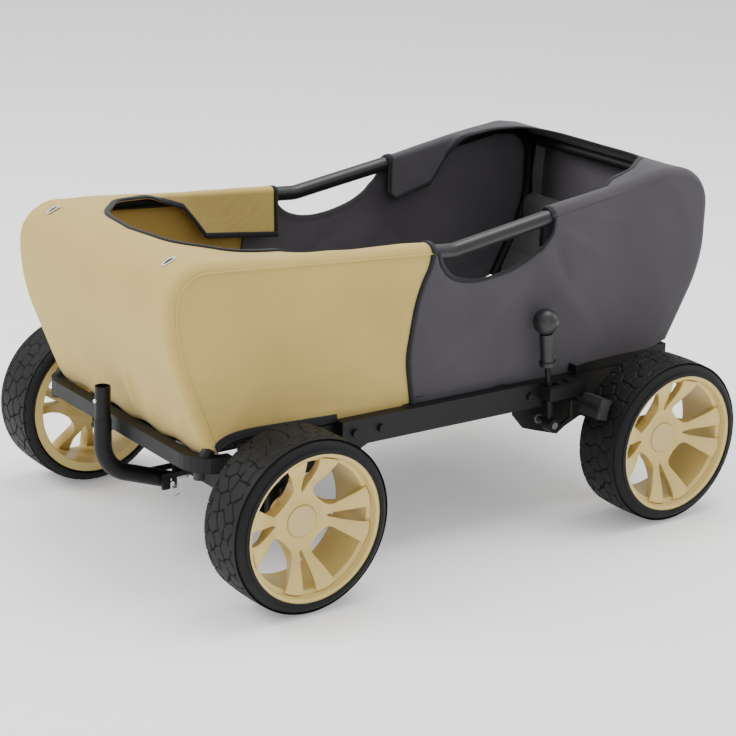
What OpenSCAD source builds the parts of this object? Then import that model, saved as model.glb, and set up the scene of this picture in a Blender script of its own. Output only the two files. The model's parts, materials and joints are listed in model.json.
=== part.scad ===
// Children's pull wagon with a steel frame, a fabric tub on two tube hoops,
// four moulded wheels, a steered front axle with a tow tube, and a hand brake
// that presses pads on the rear tyres.
// Millimetres. The front faces -Y, the wagon's left is +X, the ground is z = 0.

/* [Tub] */
// Outside length of the fabric tub
tub_l = 1080; // [900:1:1300]
// Outside width of the fabric tub
tub_w = 480; // [400:1:576]
// Height of the tub's front top edge above the side rails
tub_front_h = 282; // [235:1:340]
// Height of the dip in the tub's top edge above the side rails
tub_dip_h = 252; // [225:1:300]
// Height of the tub's rear top edge above the side rails
tub_rear_h = 326; // [280:1:390]
// How far the tub's ends draw in towards the bottom
end_rake = 74; // [50:1:85]
// Thickness of the tub's cloth with its lining
cloth = 2.5; // [1.5:0.1:4]
// Width of the cloth rim on each side of the openings
rim_w = 44; // [38:1:60]

/* [Wheels] */
// Outside diameter of a tyre
wheel_d = 280; // [234:1:336]
// Width of a tyre
tyre_w = 102; // [85:1:122]
// Height of a tyre's sidewall beyond the rim's lip
sidewall_h = 20; // [14:1:26]
// Diameter of the wheel axles
axle_d = 12; // [10:0.5:14]
// Distance from the tub's front to the front axle, and from the rear axle to the tub's back
overhang = 172; // [172:1:210]
// Gap between the tub's side and the tyre's inner face
tyre_gap = 38; // [38:1:60]

/* [Frame] */
// Height of the side rails
rail_h = 42; // [35:1:50]
// Thickness of the side rails
rail_t = 20; // [16:1:24]
// Height of the rails' underside above the axles
rail_rise = 66; // [60:1:79]
// Diameter of the hoop tubes
hoop_d = 22; // [18:0.5:24]
// Wall of the frame's tubes
tube_wall = 1.6; // [1.2:0.1:2.5]
// Diameter of the grip sleeves on the hoops
grip_d = 25.4; // [25:0.1:30]
// Diameter of the tubes over the front wheels
arch_d = 20; // [16:0.5:22]

/* [Steering and towing] */
// Diameter of the tow tube
tow_d = 28; // [24:0.5:32]
// Diameter of the narrowed stub that takes the drawbar
stub_d = 25; // [20:0.1:25.4]
// Length of the narrowed stub
stub_l = 50; // [42:1:60]
// Length of the steering arms
arm_l = 60; // [50:1:72]
// Diameter of the snap button
button_d = 7; // [5:0.1:8]

/* [Brake] */
// Diameter of the brake's cross shaft
brake_shaft_d = 12; // [10:0.5:14]
// Diameter of the lever's rod
lever_d = 10; // [8:0.5:10]
// Height of the knob's centre above the side rails
knob_h = 108; // [90:1:130]
// Diameter of the knob
knob_d = 43; // [36:1:52]
// Angle that the lever travels
brake_travel = 9; // [7.5:0.1:10.8]
// Width of a brake pad
pad_w = 45; // [38:1:54]

/* [Hidden] */
$fn = 48;

// Fits
running = 0.05;      // radial clearance of a turning or sliding fit
free_fit = 0.4;      // radial clearance where a hole only goes round a pin
side_play = 0.5;     // gap beside a turning piece
LEFT = 1;
RIGHT = -1;

// Heights
axle_z = wheel_d / 2;
rail_z = axle_z + rail_rise;
deck_z = rail_z + rail_h;
floor_t = 6;

// Lengths
tub_front = -tub_l / 2;
tub_back = tub_l / 2;
front_axle_y = tub_front + overhang;
rear_axle_y = tub_back - overhang;

// Widths
half_w = tub_w / 2;
rail_x = half_w;
plate_t = 4;
plate_x = half_w - plate_t;
arch_x = half_w - cloth - 0.5 - arch_d / 2;
hoop_x = half_w - cloth - 0.8 - grip_d / 2;
wheel_x = half_w + tyre_gap + tyre_w / 2;
pin_x = half_w + tyre_gap - 16;

// Wheels
wheel_r = wheel_d / 2;
lip_r = wheel_r - sidewall_h;
barrel_r = lip_r - 12;
barrel_t = 5;
lip_t = 4;
seat_w = tyre_w - 12;
hub_r = 22;
hub_in = -38;
bush_r = axle_d / 2 + 3;
bush_l = 18;
flange_t = 1.5;
nut_h = 8;
cap_r = 25;
cap_face = 15;
disc_t = 9;

// Side outline of the tub: front bottom, round the top and down the back, as [y, z, radius]
outline = [
    [tub_front + end_rake, deck_z - 22, 0],
    [tub_front, deck_z + 156, 300],
    [tub_front, deck_z + tub_front_h, 62],
    [tub_front + 528, deck_z + tub_dip_h, 60],
    [tub_back - 100, deck_z + tub_rear_h, 90],
    [tub_back, deck_z + tub_rear_h - 12, 72],
    [tub_back, deck_z + 152, 220],
    [tub_back - end_rake, deck_z + 18, 0]];
dip_y = outline[3][0];
grip_start = dip_y - 36;
grip_end = dip_y + 196;
seam_y = dip_y - 70;

// Bumper and the tubes over the wheels
bar_h = 24;
bar_t = 22;
bar_r = 60;
bar_y = tub_front + 46;
bar_top = deck_z - 22;
arch_z = deck_z - arch_d / 2;
arch_foot_y = tub_front + 70;
rear_arch_h = 22;
rear_arch_z = deck_z + 16 - rear_arch_h;
rail_front = front_axle_y + wheel_r - 7;
rail_back = rear_axle_y - wheel_r + 8;

// Steering
beam_w = 40;
beam_h = 30;
beam_wall = 3;
bracket_t = 5;
knuckle_h = 59;
barrel_d = 26;
pin_d = 12;
swivel_d = 14;
arm_t = 8;
arm_z = axle_z - knuckle_h / 2;
rod_t = 10;
rod_z = arm_z - side_play - rod_t;
link_pin_d = 8;
link_head_t = 4;
hinge_y = front_axle_y - 37;
hinge_z = axle_z - 36;
hinge_pin_d = 8;
tow_y = tub_front + 25;
tow_top = deck_z + 31;
tow_rise = 38;
tow_bend = 60;
tow_wall = 2;
tow_path = [
    [hinge_y + 12, hinge_z - 12 * tow_rise / (hinge_y - tow_y), 0],
    [tow_y, hinge_z + tow_rise, tow_bend],
    [tow_y, tow_top - stub_l - 8, 0]];
button_z = tow_top - 23;
button_out = 3.5;

// Brake, with the pads drawn where they reach the tyre and then turned back to rest
shaft_y = rear_axle_y - wheel_r - 51;
shaft_z = axle_z + 36;
lever_x = half_w + 30;
arm_x = half_w + 37;
lever_lean = 7.2;
pad_stop = 0.6;
pad_t = 18;
pad_l = 34;
pad_angle = 25.7;
bar_d = 8;
box_x = half_w + rail_t;
box_w = 30;
box_l = 79;
box_h = 22;
box_y = shaft_y - 21;
box_top = deck_z - 3;

// ---- Geometry helpers ----

function flat(p) = [p[0], p[1]];
function unit(v) = v / norm(v);
function turn_right(v) = [v[1], -v[0]];
function cross2(a, b) = a[0] * b[1] - a[1] * b[0];

// Directions from corner i of a path to its neighbours
function back_dir(path, i) = unit(flat(path[i - 1]) - flat(path[i]));
function on_dir(path, i) = unit(flat(path[i + 1]) - flat(path[i]));
function half_angle(path, i) = acos(back_dir(path, i) * on_dir(path, i)) / 2;
// Length that the rounding takes from each side of the corner
function tangent(path, i) = path[i][2] <= 0 ? 0 : path[i][2] / tan(half_angle(path, i));
function centre(path, i) =
    flat(path[i]) + unit(back_dir(path, i) + on_dir(path, i)) * path[i][2] / sin(half_angle(path, i));
function arc_start(path, i) = flat(path[i]) + back_dir(path, i) * tangent(path, i);
function arc_end(path, i) = flat(path[i]) + on_dir(path, i) * tangent(path, i);
// The middle of a rounded corner
function arc_mid(path, i) = centre(path, i) - unit(back_dir(path, i) + on_dir(path, i)) * path[i][2];

// Points of a rounded corner, from one tangent point to the other
function corner_points(path, i, steps = 8) =
    path[i][2] <= 0 ? [flat(path[i])] :
    let (c = centre(path, i), s = arc_start(path, i) - c, e = arc_end(path, i) - c,
         sweep = 180 - 2 * half_angle(path, i))
    [for (k = [0 : steps])
        c + (s * sin(sweep * (1 - k / steps)) + e * sin(sweep * k / steps)) / sin(sweep)];

// A path's points with all its corners rounded
function rounded(path) = [for (i = [0 : len(path) - 1])
    each (i == 0 || i == len(path) - 1) ? [flat(path[i])] : corner_points(path, i)];

// A path moved sideways to its right by d, with its corner radii kept concentric
function inset(path, d) = [for (i = [0 : len(path) - 1])
    let (last = len(path) - 1,
         u = i == 0 ? on_dir(path, 0) : -back_dir(path, i),
         v = i == last ? u : on_dir(path, i),
         n = turn_right(u), m = turn_right(v),
         q = flat(path[i]) + d * (n + m) / (1 + n * m))
    [q[0], q[1], path[i][2] <= 0 ? 0 : path[i][2] + (cross2(u, v) < 0 ? -d : d)]];

function reverse(list) = [for (i = [len(list) - 1 : -1 : 0]) list[i]];
function at_y(p, q, y) = [y, p[1] + (q[1] - p[1]) * (y - p[0]) / (q[0] - p[0]), 0];

// Outline of a strip of thickness t on a path's right
function band(path, t) = concat(rounded(path), reverse(rounded(inset(path, t))));

// Puts a shape drawn on y and z, and extruded up, into the plane at x
module in_side_plane(x) {
    translate([x, 0, 0]) rotate([90, 0, 90]) children();
}

module ring(d, wall) {
    difference() {
        circle(d = d);
        if (wall < d / 2) circle(d = d - 2 * wall);
    }
}

// A round tube along a path on y and z, in the plane at x; it is solid when wall is d / 2
module tube_path(path, d, wall, x) {
    in_side_plane(x) {
        for (i = [0 : len(path) - 2]) {
            p = i == 0 ? flat(path[0]) : arc_end(path, i);
            q = i == len(path) - 2 ? flat(path[i + 1]) : arc_start(path, i + 1);
            translate([p[0], p[1], 0])
                rotate([0, 0, atan2(q[1] - p[1], q[0] - p[0])])
                    rotate([0, 90, 0])
                        linear_extrude(norm(q - p)) ring(d, wall);
        }
        for (i = [1 : len(path) - 2]) {
            c = centre(path, i);
            s = arc_start(path, i) - c;
            e = arc_end(path, i) - c;
            first = cross2(s, e) > 0 ? s : e;
            translate([c[0], c[1], 0])
                rotate_extrude(angle = 180 - 2 * half_angle(path, i), start = atan2(first[1], first[0]))
                    translate([path[i][2], 0]) ring(d, wall);
        }
    }
}

// A swept tube with flat facets along a path on y and z, in the plane at x
function path_normals(points) = [for (i = [0 : len(points) - 1])
    turn_right(unit(points[min(i + 1, len(points) - 1)] - points[max(i - 1, 0)]))];
function tube_rings(points, r, sides) = let (n = path_normals(points))
    [for (i = [0 : len(points) - 1], k = [0 : sides - 1])
        [r * sin(360 * k / sides), points[i][0] + r * cos(360 * k / sides) * n[i][0],
            points[i][1] + r * cos(360 * k / sides) * n[i][1]]];
function ring_faces(rows, sides, base) = [for (i = [0 : rows - 2], k = [0 : sides - 1])
    let (a = base + i * sides, m = (k + 1) % sides) [a + k, a + m, a + sides + m, a + sides + k]];

module swept_tube(path, d, bore, x, sides = 20) {
    points = rounded(path);
    rows = len(points);
    outer = tube_rings(points, d / 2, sides);
    inner = bore > 0 ? tube_rings(points, bore / 2, sides) : [];
    last = (rows - 1) * sides;
    skin = ring_faces(rows, sides, 0);
    lining = [for (f = ring_faces(rows, sides, rows * sides)) reverse(f)];
    hollow_ends = [for (k = [0 : sides - 1]) let (m = (k + 1) % sides, b = rows * sides)
        each [[k, b + k, b + m, m], [last + m, b + last + m, b + last + k, last + k]]];
    plain_ends = [[for (k = [sides - 1 : -1 : 0]) k], [for (k = [0 : sides - 1]) last + k]];
    translate([x, 0, 0]) polyhedron(
        points = concat(outer, inner),
        faces = bore > 0 ? concat(skin, lining, hollow_ends) : concat(skin, plain_ends));
}

module both_sides() {
    children();
    mirror([1, 0, 0]) children();
}

module on_side(side) {
    if (side == LEFT) children();
    else mirror([1, 0, 0]) children();
}

// A cylinder along X from x0 to x1
module bar_x(x0, x1, d, y, z, fn = $fn) {
    translate([x0, y, z]) rotate([0, 90, 0]) cylinder(h = x1 - x0, d = d, $fn = fn);
}

module box(x0, x1, y0, y1, z0, z1) {
    translate([x0, y0, z0]) cube([x1 - x0, y1 - y0, z1 - z0]);
}

// A rectangular tube along X or Y with open ends
module box_tube_x(x0, x1, y0, y1, z0, z1, wall) {
    difference() {
        box(x0, x1, y0, y1, z0, z1);
        box(x0 - 1, x1 + 1, y0 + wall, y1 - wall, z0 + wall, z1 - wall);
    }
}

module box_tube_y(x0, x1, y0, y1, z0, z1, wall) {
    difference() {
        box(x0, x1, y0, y1, z0, z1);
        box(x0 + wall, x1 - wall, y0 - 1, y1 + 1, z0 + wall, z1 - wall);
    }
}

// ---- Frame ----

bolt_d = 8;
bolt_places = [
    [rail_front + 20, rail_z + rail_h / 2],
    [rail_front + 70, rail_z + rail_h / 2],
    [shaft_y - 39, rail_z + rail_h / 2],
    [shaft_y + 45, rail_z + 7]];

module side_rail(side) {
    color("#2B2C2E") on_side(side) difference() {
        union() {
            box_tube_y(rail_x, rail_x + rail_t, rail_front, rail_back, rail_z, deck_z, 2);
            box(arch_x - arch_d / 2, rail_x + rail_t, rail_front - plate_t, rail_front, rail_z, deck_z);
            box(arch_x - arch_d / 2, rail_x + rail_t, rail_back, rail_back + plate_t,
                rail_z, rear_arch_z + rear_arch_h);
        }
        for (p = bolt_places) bar_x(rail_x - 1, rail_x + rail_t + 1, bolt_d, p[0], p[1]);
    }
}

module front_arch_solid(wall) {
    path = [[arch_foot_y, bar_top - 40, 0], [arch_foot_y, arch_z, 24], [rail_front - plate_t, arch_z, 0]];
    tube_path(path, arch_d, wall, arch_x);
}

module front_arch_tubes() {
    color("#2B2C2E") both_sides() difference() {
        front_arch_solid(tube_wall);
        box(0, half_w + 50, arch_foot_y - 50, arch_foot_y + 50, bar_top - 60, bar_top);
    }
}

module rear_arch_tubes() {
    color("#2B2C2E") both_sides()
        box_tube_y(arch_x - arch_d / 2, arch_x + arch_d / 2, rail_back + plate_t, tub_back - end_rake - 4,
            rear_arch_z, rear_arch_z + rear_arch_h, tube_wall);
}

bumper_w = half_w + 14;
module front_bumper() {
    leg_end = arch_foot_y + 38;
    color("#2B2C2E") translate([0, 0, bar_top - bar_h]) linear_extrude(bar_h)
        polygon(band([[-bumper_w, leg_end, 0], [-bumper_w, bar_y, bar_r],
            [bumper_w, bar_y, bar_r], [bumper_w, leg_end, 0]], -bar_t));
}

module bumper_feet() {
    color("#1C1D1F") both_sides()
        translate([bumper_w - 30, bar_y + bar_t / 2 + 7, bar_top - bar_h - 12]) cylinder(h = 12, d = 18);
}

front_cross_y = tub_front + 115;
module cross_tubes() {
    tube_w = 20;
    tube_h = 22;
    top = deck_z + 2;
    color("#2B2C2E") {
        for (y = [dip_y - 88, dip_y + 102])
            box_tube_x(-rail_x, rail_x, y - tube_w / 2, y + tube_w / 2, top - tube_h, top, tube_wall);
        box_tube_x(-arch_x + arch_d / 2, arch_x - arch_d / 2, front_cross_y - tube_w / 2,
            front_cross_y + tube_w / 2, top - tube_h, top, tube_wall);
        box_tube_x(-arch_x + arch_d / 2, arch_x - arch_d / 2, tub_back - end_rake - 24,
            tub_back - end_rake - 4, rear_arch_z, rear_arch_z + rear_arch_h, tube_wall);
    }
}

module floor_panel() {
    floor_half = hoop_x - grip_d / 2 + 4;
    color("#3A3A3C") box(-floor_half, floor_half, front_cross_y - 12, tub_back - end_rake - 26,
        deck_z + 2, deck_z + 2 + floor_t);
}

// Plates that hang the axles from the rails, drawn on y and z
module side_plates() {
    top = deck_z - 8;
    front_plate = [
        [rail_front + 85, top], [rail_front + 85, rail_z + 3], [rail_front + 39, rail_z - 19],
        [front_axle_y + 60, axle_z + 26], [front_axle_y + 33, axle_z - 20],
        [front_axle_y - 33, axle_z - 20], [front_axle_y - 33, axle_z + 30],
        [front_axle_y - 52, top]];
    rear_plate = [
        [shaft_y - 55, top], [shaft_y - 55, rail_z - 15], [shaft_y - 32, shaft_z - 11],
        [shaft_y - 8, shaft_z - 19], [shaft_y + 38, shaft_z - 33], [rear_axle_y - 100, shaft_z - 11],
        [rear_axle_y - 78, shaft_z - 11], [rear_axle_y - 34, axle_z - 20],
        [rear_axle_y + 34, axle_z - 20], [rear_axle_y + 48, rear_arch_z],
        [rail_back, rear_arch_z], [rail_back, top]];
    color("#2B2C2E") both_sides() {
        difference() {
            in_side_plane(plate_x) linear_extrude(plate_t) polygon(front_plate);
            front_arch_solid(arch_d / 2);
            box(plate_x - 1, rail_x + 1, rail_front - plate_t, rail_front, rail_z, deck_z);
            for (p = bolt_places) bar_x(plate_x - 1, rail_x + 1, bolt_d, p[0], p[1]);
        }
        difference() {
            in_side_plane(plate_x) linear_extrude(plate_t) polygon(rear_plate);
            bar_x(plate_x - 1, rail_x + 1, axle_d, rear_axle_y, axle_z);
            bar_x(plate_x - 1, rail_x + 1, brake_shaft_d + 4, shaft_y, shaft_z);
            box(plate_x - 1, rail_x + 1, rail_back, rail_back + plate_t, rail_z, deck_z + 50);
            for (p = bolt_places) bar_x(plate_x - 1, rail_x + 1, bolt_d, p[0], p[1]);
        }
    }
}

module frame_bolts() {
    head_t = 5;
    color("#8A8C90") {
        both_sides() for (p = bolt_places) {
            bar_x(plate_x, rail_x + rail_t, bolt_d, p[0], p[1]);
            bar_x(rail_x + rail_t, rail_x + rail_t + head_t, 13, p[0], p[1]);
            bar_x(plate_x - 6, plate_x, 15, p[0], p[1], fn = 6);
        }
        translate([box_x + 11, box_y + 54, box_top]) cylinder(h = 4, d = 12);
        translate([box_x + 11, box_y + 54, box_top - 8]) cylinder(h = 8, d = 6);
    }
}

hoop_line = inset(outline, cloth + grip_d / 2);

// Cross tubes between the hoops at the top corners, with their ends cut round the hoops
module top_bows() {
    color("#2B2C2E") for (i = [2, 5]) {
        m = arc_mid(hoop_line, i);
        out = unit(m - centre(hoop_line, i));
        difference() {
            bar_x(-hoop_x, hoop_x, 18, m[0], m[1]);
            bar_x(-hoop_x - 1, hoop_x + 1, 18 - 2 * tube_wall, m[0], m[1]);
            both_sides() translate([hoop_x, m[0], m[1]])
                rotate([atan2(out[1], out[0]), 0, 0]) cylinder(h = 60, d = hoop_d, center = true);
        }
    }
}

module hoop(side) {
    color("#2B2C2E") on_side(side) difference() {
        swept_tube(hoop_line, hoop_d, hoop_d - 2 * tube_wall, hoop_x);
        box(0, half_w, tub_front, 0, 0, deck_z - 1);
        box(0, half_w, 0, tub_back, 0, rear_arch_z + rear_arch_h);
    }
}

// The soft sleeves on the stretch of hoop that the cloth leaves bare
module hoop_grips() {
    sleeve = [
        at_y(hoop_line[2], hoop_line[3], grip_start - 10),
        hoop_line[3],
        at_y(hoop_line[3], hoop_line[4], grip_end + 10)];
    color("#232427") both_sides() swept_tube(sleeve, grip_d, hoop_d + 0.4, hoop_x);
}

// ---- Cloth ----

front_opening = [
    [-half_w + rim_w, dip_y, 0], [-half_w + rim_w, tub_front + 115, 40],
    [0, tub_front + 70, 400], [half_w - rim_w, tub_front + 115, 40], [half_w - rim_w, dip_y, 0]];
rear_opening = [
    [-half_w + rim_w, dip_y, 0], [-half_w + rim_w, tub_back - 46, 105],
    [half_w - rim_w, tub_back - 46, 105], [half_w - rim_w, dip_y, 0]];

module opening_cut(path) {
    translate([0, 0, deck_z + 190]) linear_extrude(300) polygon(rounded(path));
}

module front_wrap_panel() {
    path = [outline[0], outline[1], outline[2], at_y(outline[2], outline[3], grip_start)];
    color("#C9B78D") difference() {
        in_side_plane(-half_w) linear_extrude(tub_w) polygon(band(path, cloth));
        opening_cut(front_opening);
        both_sides() box(arch_x - arch_d / 2 - 1, arch_x + arch_d / 2 + 1, arch_foot_y - arch_d / 2 - 1,
            arch_foot_y + arch_d / 2 + 1, bar_top - 1, deck_z + 1);
    }
}

module rear_wrap_panel() {
    path = [at_y(outline[3], outline[4], grip_end), outline[4], outline[5], outline[6], outline[7]];
    color("#57545A") difference() {
        in_side_plane(-half_w) linear_extrude(tub_w) polygon(band(path, cloth));
        opening_cut(rear_opening);
    }
}

hem_z = deck_z + 4;
module front_side_panel(side) {
    inner = inset(outline, cloth);
    path = [inner[0], inner[1], inner[2], at_y(inner[2], inner[3], seam_y)];
    shape = concat(rounded(path), [[seam_y, hem_z], [arch_foot_y + 14, hem_z], [inner[0][0] + 10, inner[0][1]]]);
    color("#A89A70") on_side(side) in_side_plane(half_w - cloth) linear_extrude(cloth) polygon(shape);
}

// The hand hole under the grip, as [y, z, radius]
hand_hole = [
    [grip_start, deck_z + 320, 0], [grip_start, deck_z + 188, 58], [dip_y + 87, deck_z + 185, 100],
    [grip_end + 6, deck_z + 240, 40], [grip_end - 6, deck_z + 340, 0]];

module rear_side_panel(side) {
    inner = inset(outline, cloth);
    path = [at_y(inner[2], inner[3], seam_y), inner[3], inner[4], inner[5], inner[6], inner[7]];
    shape = concat(rounded(path), [[rail_back - 4, inner[7][1]], [rail_back - 24, hem_z], [seam_y, hem_z]]);
    color("#57545A") on_side(side) in_side_plane(half_w - cloth) linear_extrude(cloth) difference() {
        polygon(shape);
        polygon(rounded(hand_hole));
    }
}

flap_x = hoop_x - grip_d / 2 - 0.5 - cloth;
module flap(y0, y1, drop) {
    inner = inset(outline, cloth + 6);
    a = y0 < dip_y ? at_y(inner[2], inner[3], y0) : at_y(inner[3], inner[4], y0);
    b = y1 < dip_y ? at_y(inner[2], inner[3], y1) : at_y(inner[3], inner[4], y1);
    both_sides() in_side_plane(flap_x) linear_extrude(cloth)
        polygon([flat(a), flat(b), [b[0] - 4, b[1] - drop], [a[0] + 8, a[1] - drop]]);
}

module inner_flaps() {
    color("#8A7338") flap(dip_y - 278, grip_start - 10, 78);
    color("#57545A") flap(grip_end + 6, grip_end + 160, 62);
}

// Padded backrest leaning on the rear wall, drawn on y and z
pad_top_z = deck_z + 192;
backrest_t = 24;
module backrest_pad() {
    inner = inset(outline, cloth + grip_d + 4);
    low = [inner[7][0] - 20, deck_z + 2 + floor_t + rear_arch_h];
    path = [[tub_back - 34, pad_top_z, 0], [tub_back - 38, deck_z + 140, 160], [low[0], low[1], 0]];
    color("#3E403F") in_side_plane(-hoop_x + grip_d / 2 + 8)
        linear_extrude(2 * hoop_x - grip_d - 16) polygon(band(path, backrest_t));
}

strap_x = hoop_x - grip_d / 2 - 34;
module harness_straps() {
    color("#8E8F90") both_sides()
        box(strap_x - 12, strap_x + 12, tub_back - 32, tub_back - 29, pad_top_z + 2, deck_z + tub_rear_h - 48);
}

// ---- Front axle and steering ----

module front_axle_beam() {
    color("#2B2C2E") difference() {
        box_tube_x(-plate_x, plate_x, front_axle_y - beam_w / 2, front_axle_y + beam_w / 2,
            axle_z - beam_h / 2, axle_z + beam_h / 2, beam_wall);
        translate([0, front_axle_y, axle_z - 30]) cylinder(h = 60, d = swivel_d);
    }
}

bracket_in = knuckle_h / 2 + side_play;
module kingpin_brackets() {
    bracket_w = 32;
    bracket_end = pin_x + 13;
    color("#2B2C2E") both_sides() translate([0, front_axle_y, axle_z]) difference() {
        union() {
            box(rail_x, rail_x + bracket_t, -bracket_w / 2, bracket_w / 2,
                -bracket_in - bracket_t, bracket_in + bracket_t);
            for (z = [-bracket_in - bracket_t, bracket_in])
                box(rail_x, bracket_end, -bracket_w / 2, bracket_w / 2, z, z + bracket_t);
        }
        translate([pin_x, 0, -60]) cylinder(h = 120, d = pin_d);
    }
}

module steering_bolts() {
    head_t = 7;
    nut_t = 9;
    bolt_top = bracket_in + bracket_t;
    color("#8A8C90") translate([0, front_axle_y, axle_z]) {
        both_sides() translate([pin_x, 0, 0]) {
            translate([0, 0, -bolt_top - nut_t - 1]) cylinder(h = 2 * bolt_top + nut_t + 1, d = pin_d);
            translate([0, 0, bolt_top]) cylinder(h = head_t, d = 21, $fn = 6);
            translate([0, 0, -bolt_top - nut_t]) cylinder(h = nut_t, d = 21, $fn = 6);
        }
        low = -knuckle_h / 2 - side_play;
        translate([0, 0, low - nut_t - 1]) cylinder(h = beam_h / 2 - low + nut_t + 1, d = swivel_d);
        translate([0, 0, beam_h / 2]) cylinder(h = head_t, d = 24, $fn = 6);
        translate([0, 0, low - nut_t]) cylinder(h = nut_t, d = 24, $fn = 6);
    }
}

stub_end = wheel_x + 11;
shoulder_end = wheel_x + hub_in - flange_t - side_play;

// A pin and its head that hangs under a steering arm, with its top at z = 0
module link_pin() {
    pin_l = rod_t + 2 * side_play;
    translate([0, 0, -pin_l]) cylinder(h = pin_l, d = link_pin_d);
    translate([0, 0, -pin_l - link_head_t]) cylinder(h = link_head_t, d = 14);
}

module steering_arm(length, width) {
    linear_extrude(arm_t) union() {
        translate([-width / 2, 0]) square([width, length]);
        translate([0, length]) circle(d = width);
    }
    translate([0, length, 0]) link_pin();
}

module knuckle(side) {
    color("#35373A") on_side(side) {
        difference() {
            union() {
                translate([pin_x, front_axle_y, arm_z]) cylinder(h = knuckle_h, d = barrel_d);
                bar_x(pin_x, shoulder_end, 20, front_axle_y, axle_z);
                translate([pin_x, front_axle_y, arm_z]) steering_arm(arm_l, 18);
            }
            translate([pin_x, front_axle_y, arm_z - 1]) cylinder(h = knuckle_h + 2, d = pin_d + 2 * running);
        }
        bar_x(shoulder_end, stub_end, axle_d, front_axle_y, axle_z);
        axle_nut(front_axle_y);
    }
}

// The hexagon nut on the end of an axle, under the hub cap
module axle_nut(y) {
    difference() {
        bar_x(wheel_x + flange_t + side_play, wheel_x + flange_t + side_play + nut_h, 21, y, axle_z, fn = 6);
        bar_x(wheel_x, wheel_x + 20, axle_d, y, axle_z);
    }
}

fork_in = tow_d / 2 + 1;
fork_t = 6;
module tow_swivel() {
    boss_h = axle_z - beam_h / 2 - side_play - arm_z - arm_t;
    color("#35373A") difference() {
        union() {
            translate([0, front_axle_y, arm_z]) steering_arm(arm_l, 24);
            translate([0, front_axle_y, arm_z]) cylinder(h = arm_t + boss_h, d = 36);
            for (side = [LEFT, RIGHT]) on_side(side) {
                box(fork_in, fork_in + fork_t, hinge_y - 12, front_axle_y + 8, arm_z, arm_z + arm_t);
                box(fork_in, fork_in + fork_t, hinge_y - 12, hinge_y + 14, hinge_z - 12, arm_z + arm_t);
            }
        }
        translate([0, front_axle_y, arm_z - 1])
            cylinder(h = arm_t + boss_h + 2, d = swivel_d + 2 * running);
        bar_x(-60, 60, hinge_pin_d, hinge_y, hinge_z);
    }
}

module tow_pin() {
    pin_end = fork_in + fork_t;
    clip_x = pin_end + 5;
    color("#B9BBBD") {
        difference() {
            union() {
                bar_x(-pin_end, pin_end + 9, hinge_pin_d, hinge_y, hinge_z);
                bar_x(-pin_end - 4, -pin_end, 14, hinge_y, hinge_z);
            }
            bar_z(clip_x, hinge_y, hinge_z - 6, hinge_z + 6, 2);
        }
        bar_z(clip_x, hinge_y, hinge_z - 14, hinge_z + 8, 2);
        translate([clip_x, hinge_y + 9, hinge_z - 14]) rotate([0, 90, 0])
            rotate_extrude() translate([9, 0]) circle(d = 2, $fn = 16);
    }
}

module bar_z(x, y, z0, z1, d) {
    translate([x, y, z0]) cylinder(h = z1 - z0, d = d);
}

module track_rod() {
    rod_y = front_axle_y + arm_l;
    rod_w = 16;
    color("#35373A") translate([0, rod_y, rod_z]) difference() {
        union() {
            box(-pin_x, pin_x, -rod_w / 2, rod_w / 2, 0, rod_t);
            for (x = [-pin_x, pin_x]) translate([x, 0, 0]) cylinder(h = rod_t, d = rod_w);
        }
        translate([0, 0, -1]) cylinder(h = rod_t + 2, d = link_pin_d + 2 * running);
        for (x = [-pin_x, pin_x])
            translate([x, 0, -1]) cylinder(h = rod_t + 2, d = link_pin_d + 2 * free_fit);
    }
}

module tow_tube() {
    swage_h = 8;
    swage_z = tow_top - stub_l - swage_h;
    bore = stub_d - 2 * tow_wall;
    color("#2B2C2E") difference() {
        union() {
            tube_path(tow_path, tow_d, tow_wall, 0);
            translate([0, tow_y, swage_z]) difference() {
                cylinder(h = swage_h, d1 = tow_d, d2 = stub_d);
                cylinder(h = swage_h, d1 = tow_d - 2 * tow_wall, d2 = bore);
            }
            translate([0, tow_y, swage_z + swage_h]) linear_extrude(stub_l) ring(stub_d, tow_wall);
        }
        bar_x(-60, 60, hinge_pin_d + 2 * running, hinge_y, hinge_z);
        translate([0, tow_y, button_z]) rotate([90, 0, 0]) cylinder(h = 40, d = button_d + 2 * running);
    }
}

module snap_button() {
    bore_r = stub_d / 2 - tow_wall;
    stem_in = bore_r - 2;
    tip = stub_d / 2 + button_out;
    flange_r = button_d / 2 + 1.5;
    color("#D8D9DA") translate([0, tow_y, button_z]) rotate([90, 0, 0]) {
        translate([0, 0, stem_in - 2]) cylinder(h = tip - stem_in + 2 - 1.5, d = button_d);
        translate([0, 0, tip - 1.5]) cylinder(h = 1.5, d1 = button_d, d2 = button_d - 2.5);
        translate([0, 0, stem_in - 2]) cylinder(h = 2, r = flange_r);
    }
}

// ---- Rear axle ----

module rear_axle_beam() {
    color("#2B2C2E") box_tube_x(-plate_x, plate_x, rear_axle_y - beam_h / 2, rear_axle_y + beam_h / 2,
        axle_z - beam_h / 2, axle_z + beam_h / 2, beam_wall);
}

module rear_axle() {
    color("#9A9C9F") bar_x(-stub_end, stub_end, axle_d, rear_axle_y, axle_z);
}

module rear_axle_nuts() {
    color("#9A9C9F") both_sides() {
        axle_nut(rear_axle_y);
        difference() {
            bar_x(rail_x, shoulder_end, 20, rear_axle_y, axle_z);
            bar_x(rail_x - 1, shoulder_end + 1, axle_d, rear_axle_y, axle_z);
        }
    }
}

// ---- Wheels, drawn with their axis up and their outer face at the top ----

module at_wheel(side, y) {
    on_side(side) translate([wheel_x, y, axle_z]) rotate([0, 90, 0]) children();
}

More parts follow.
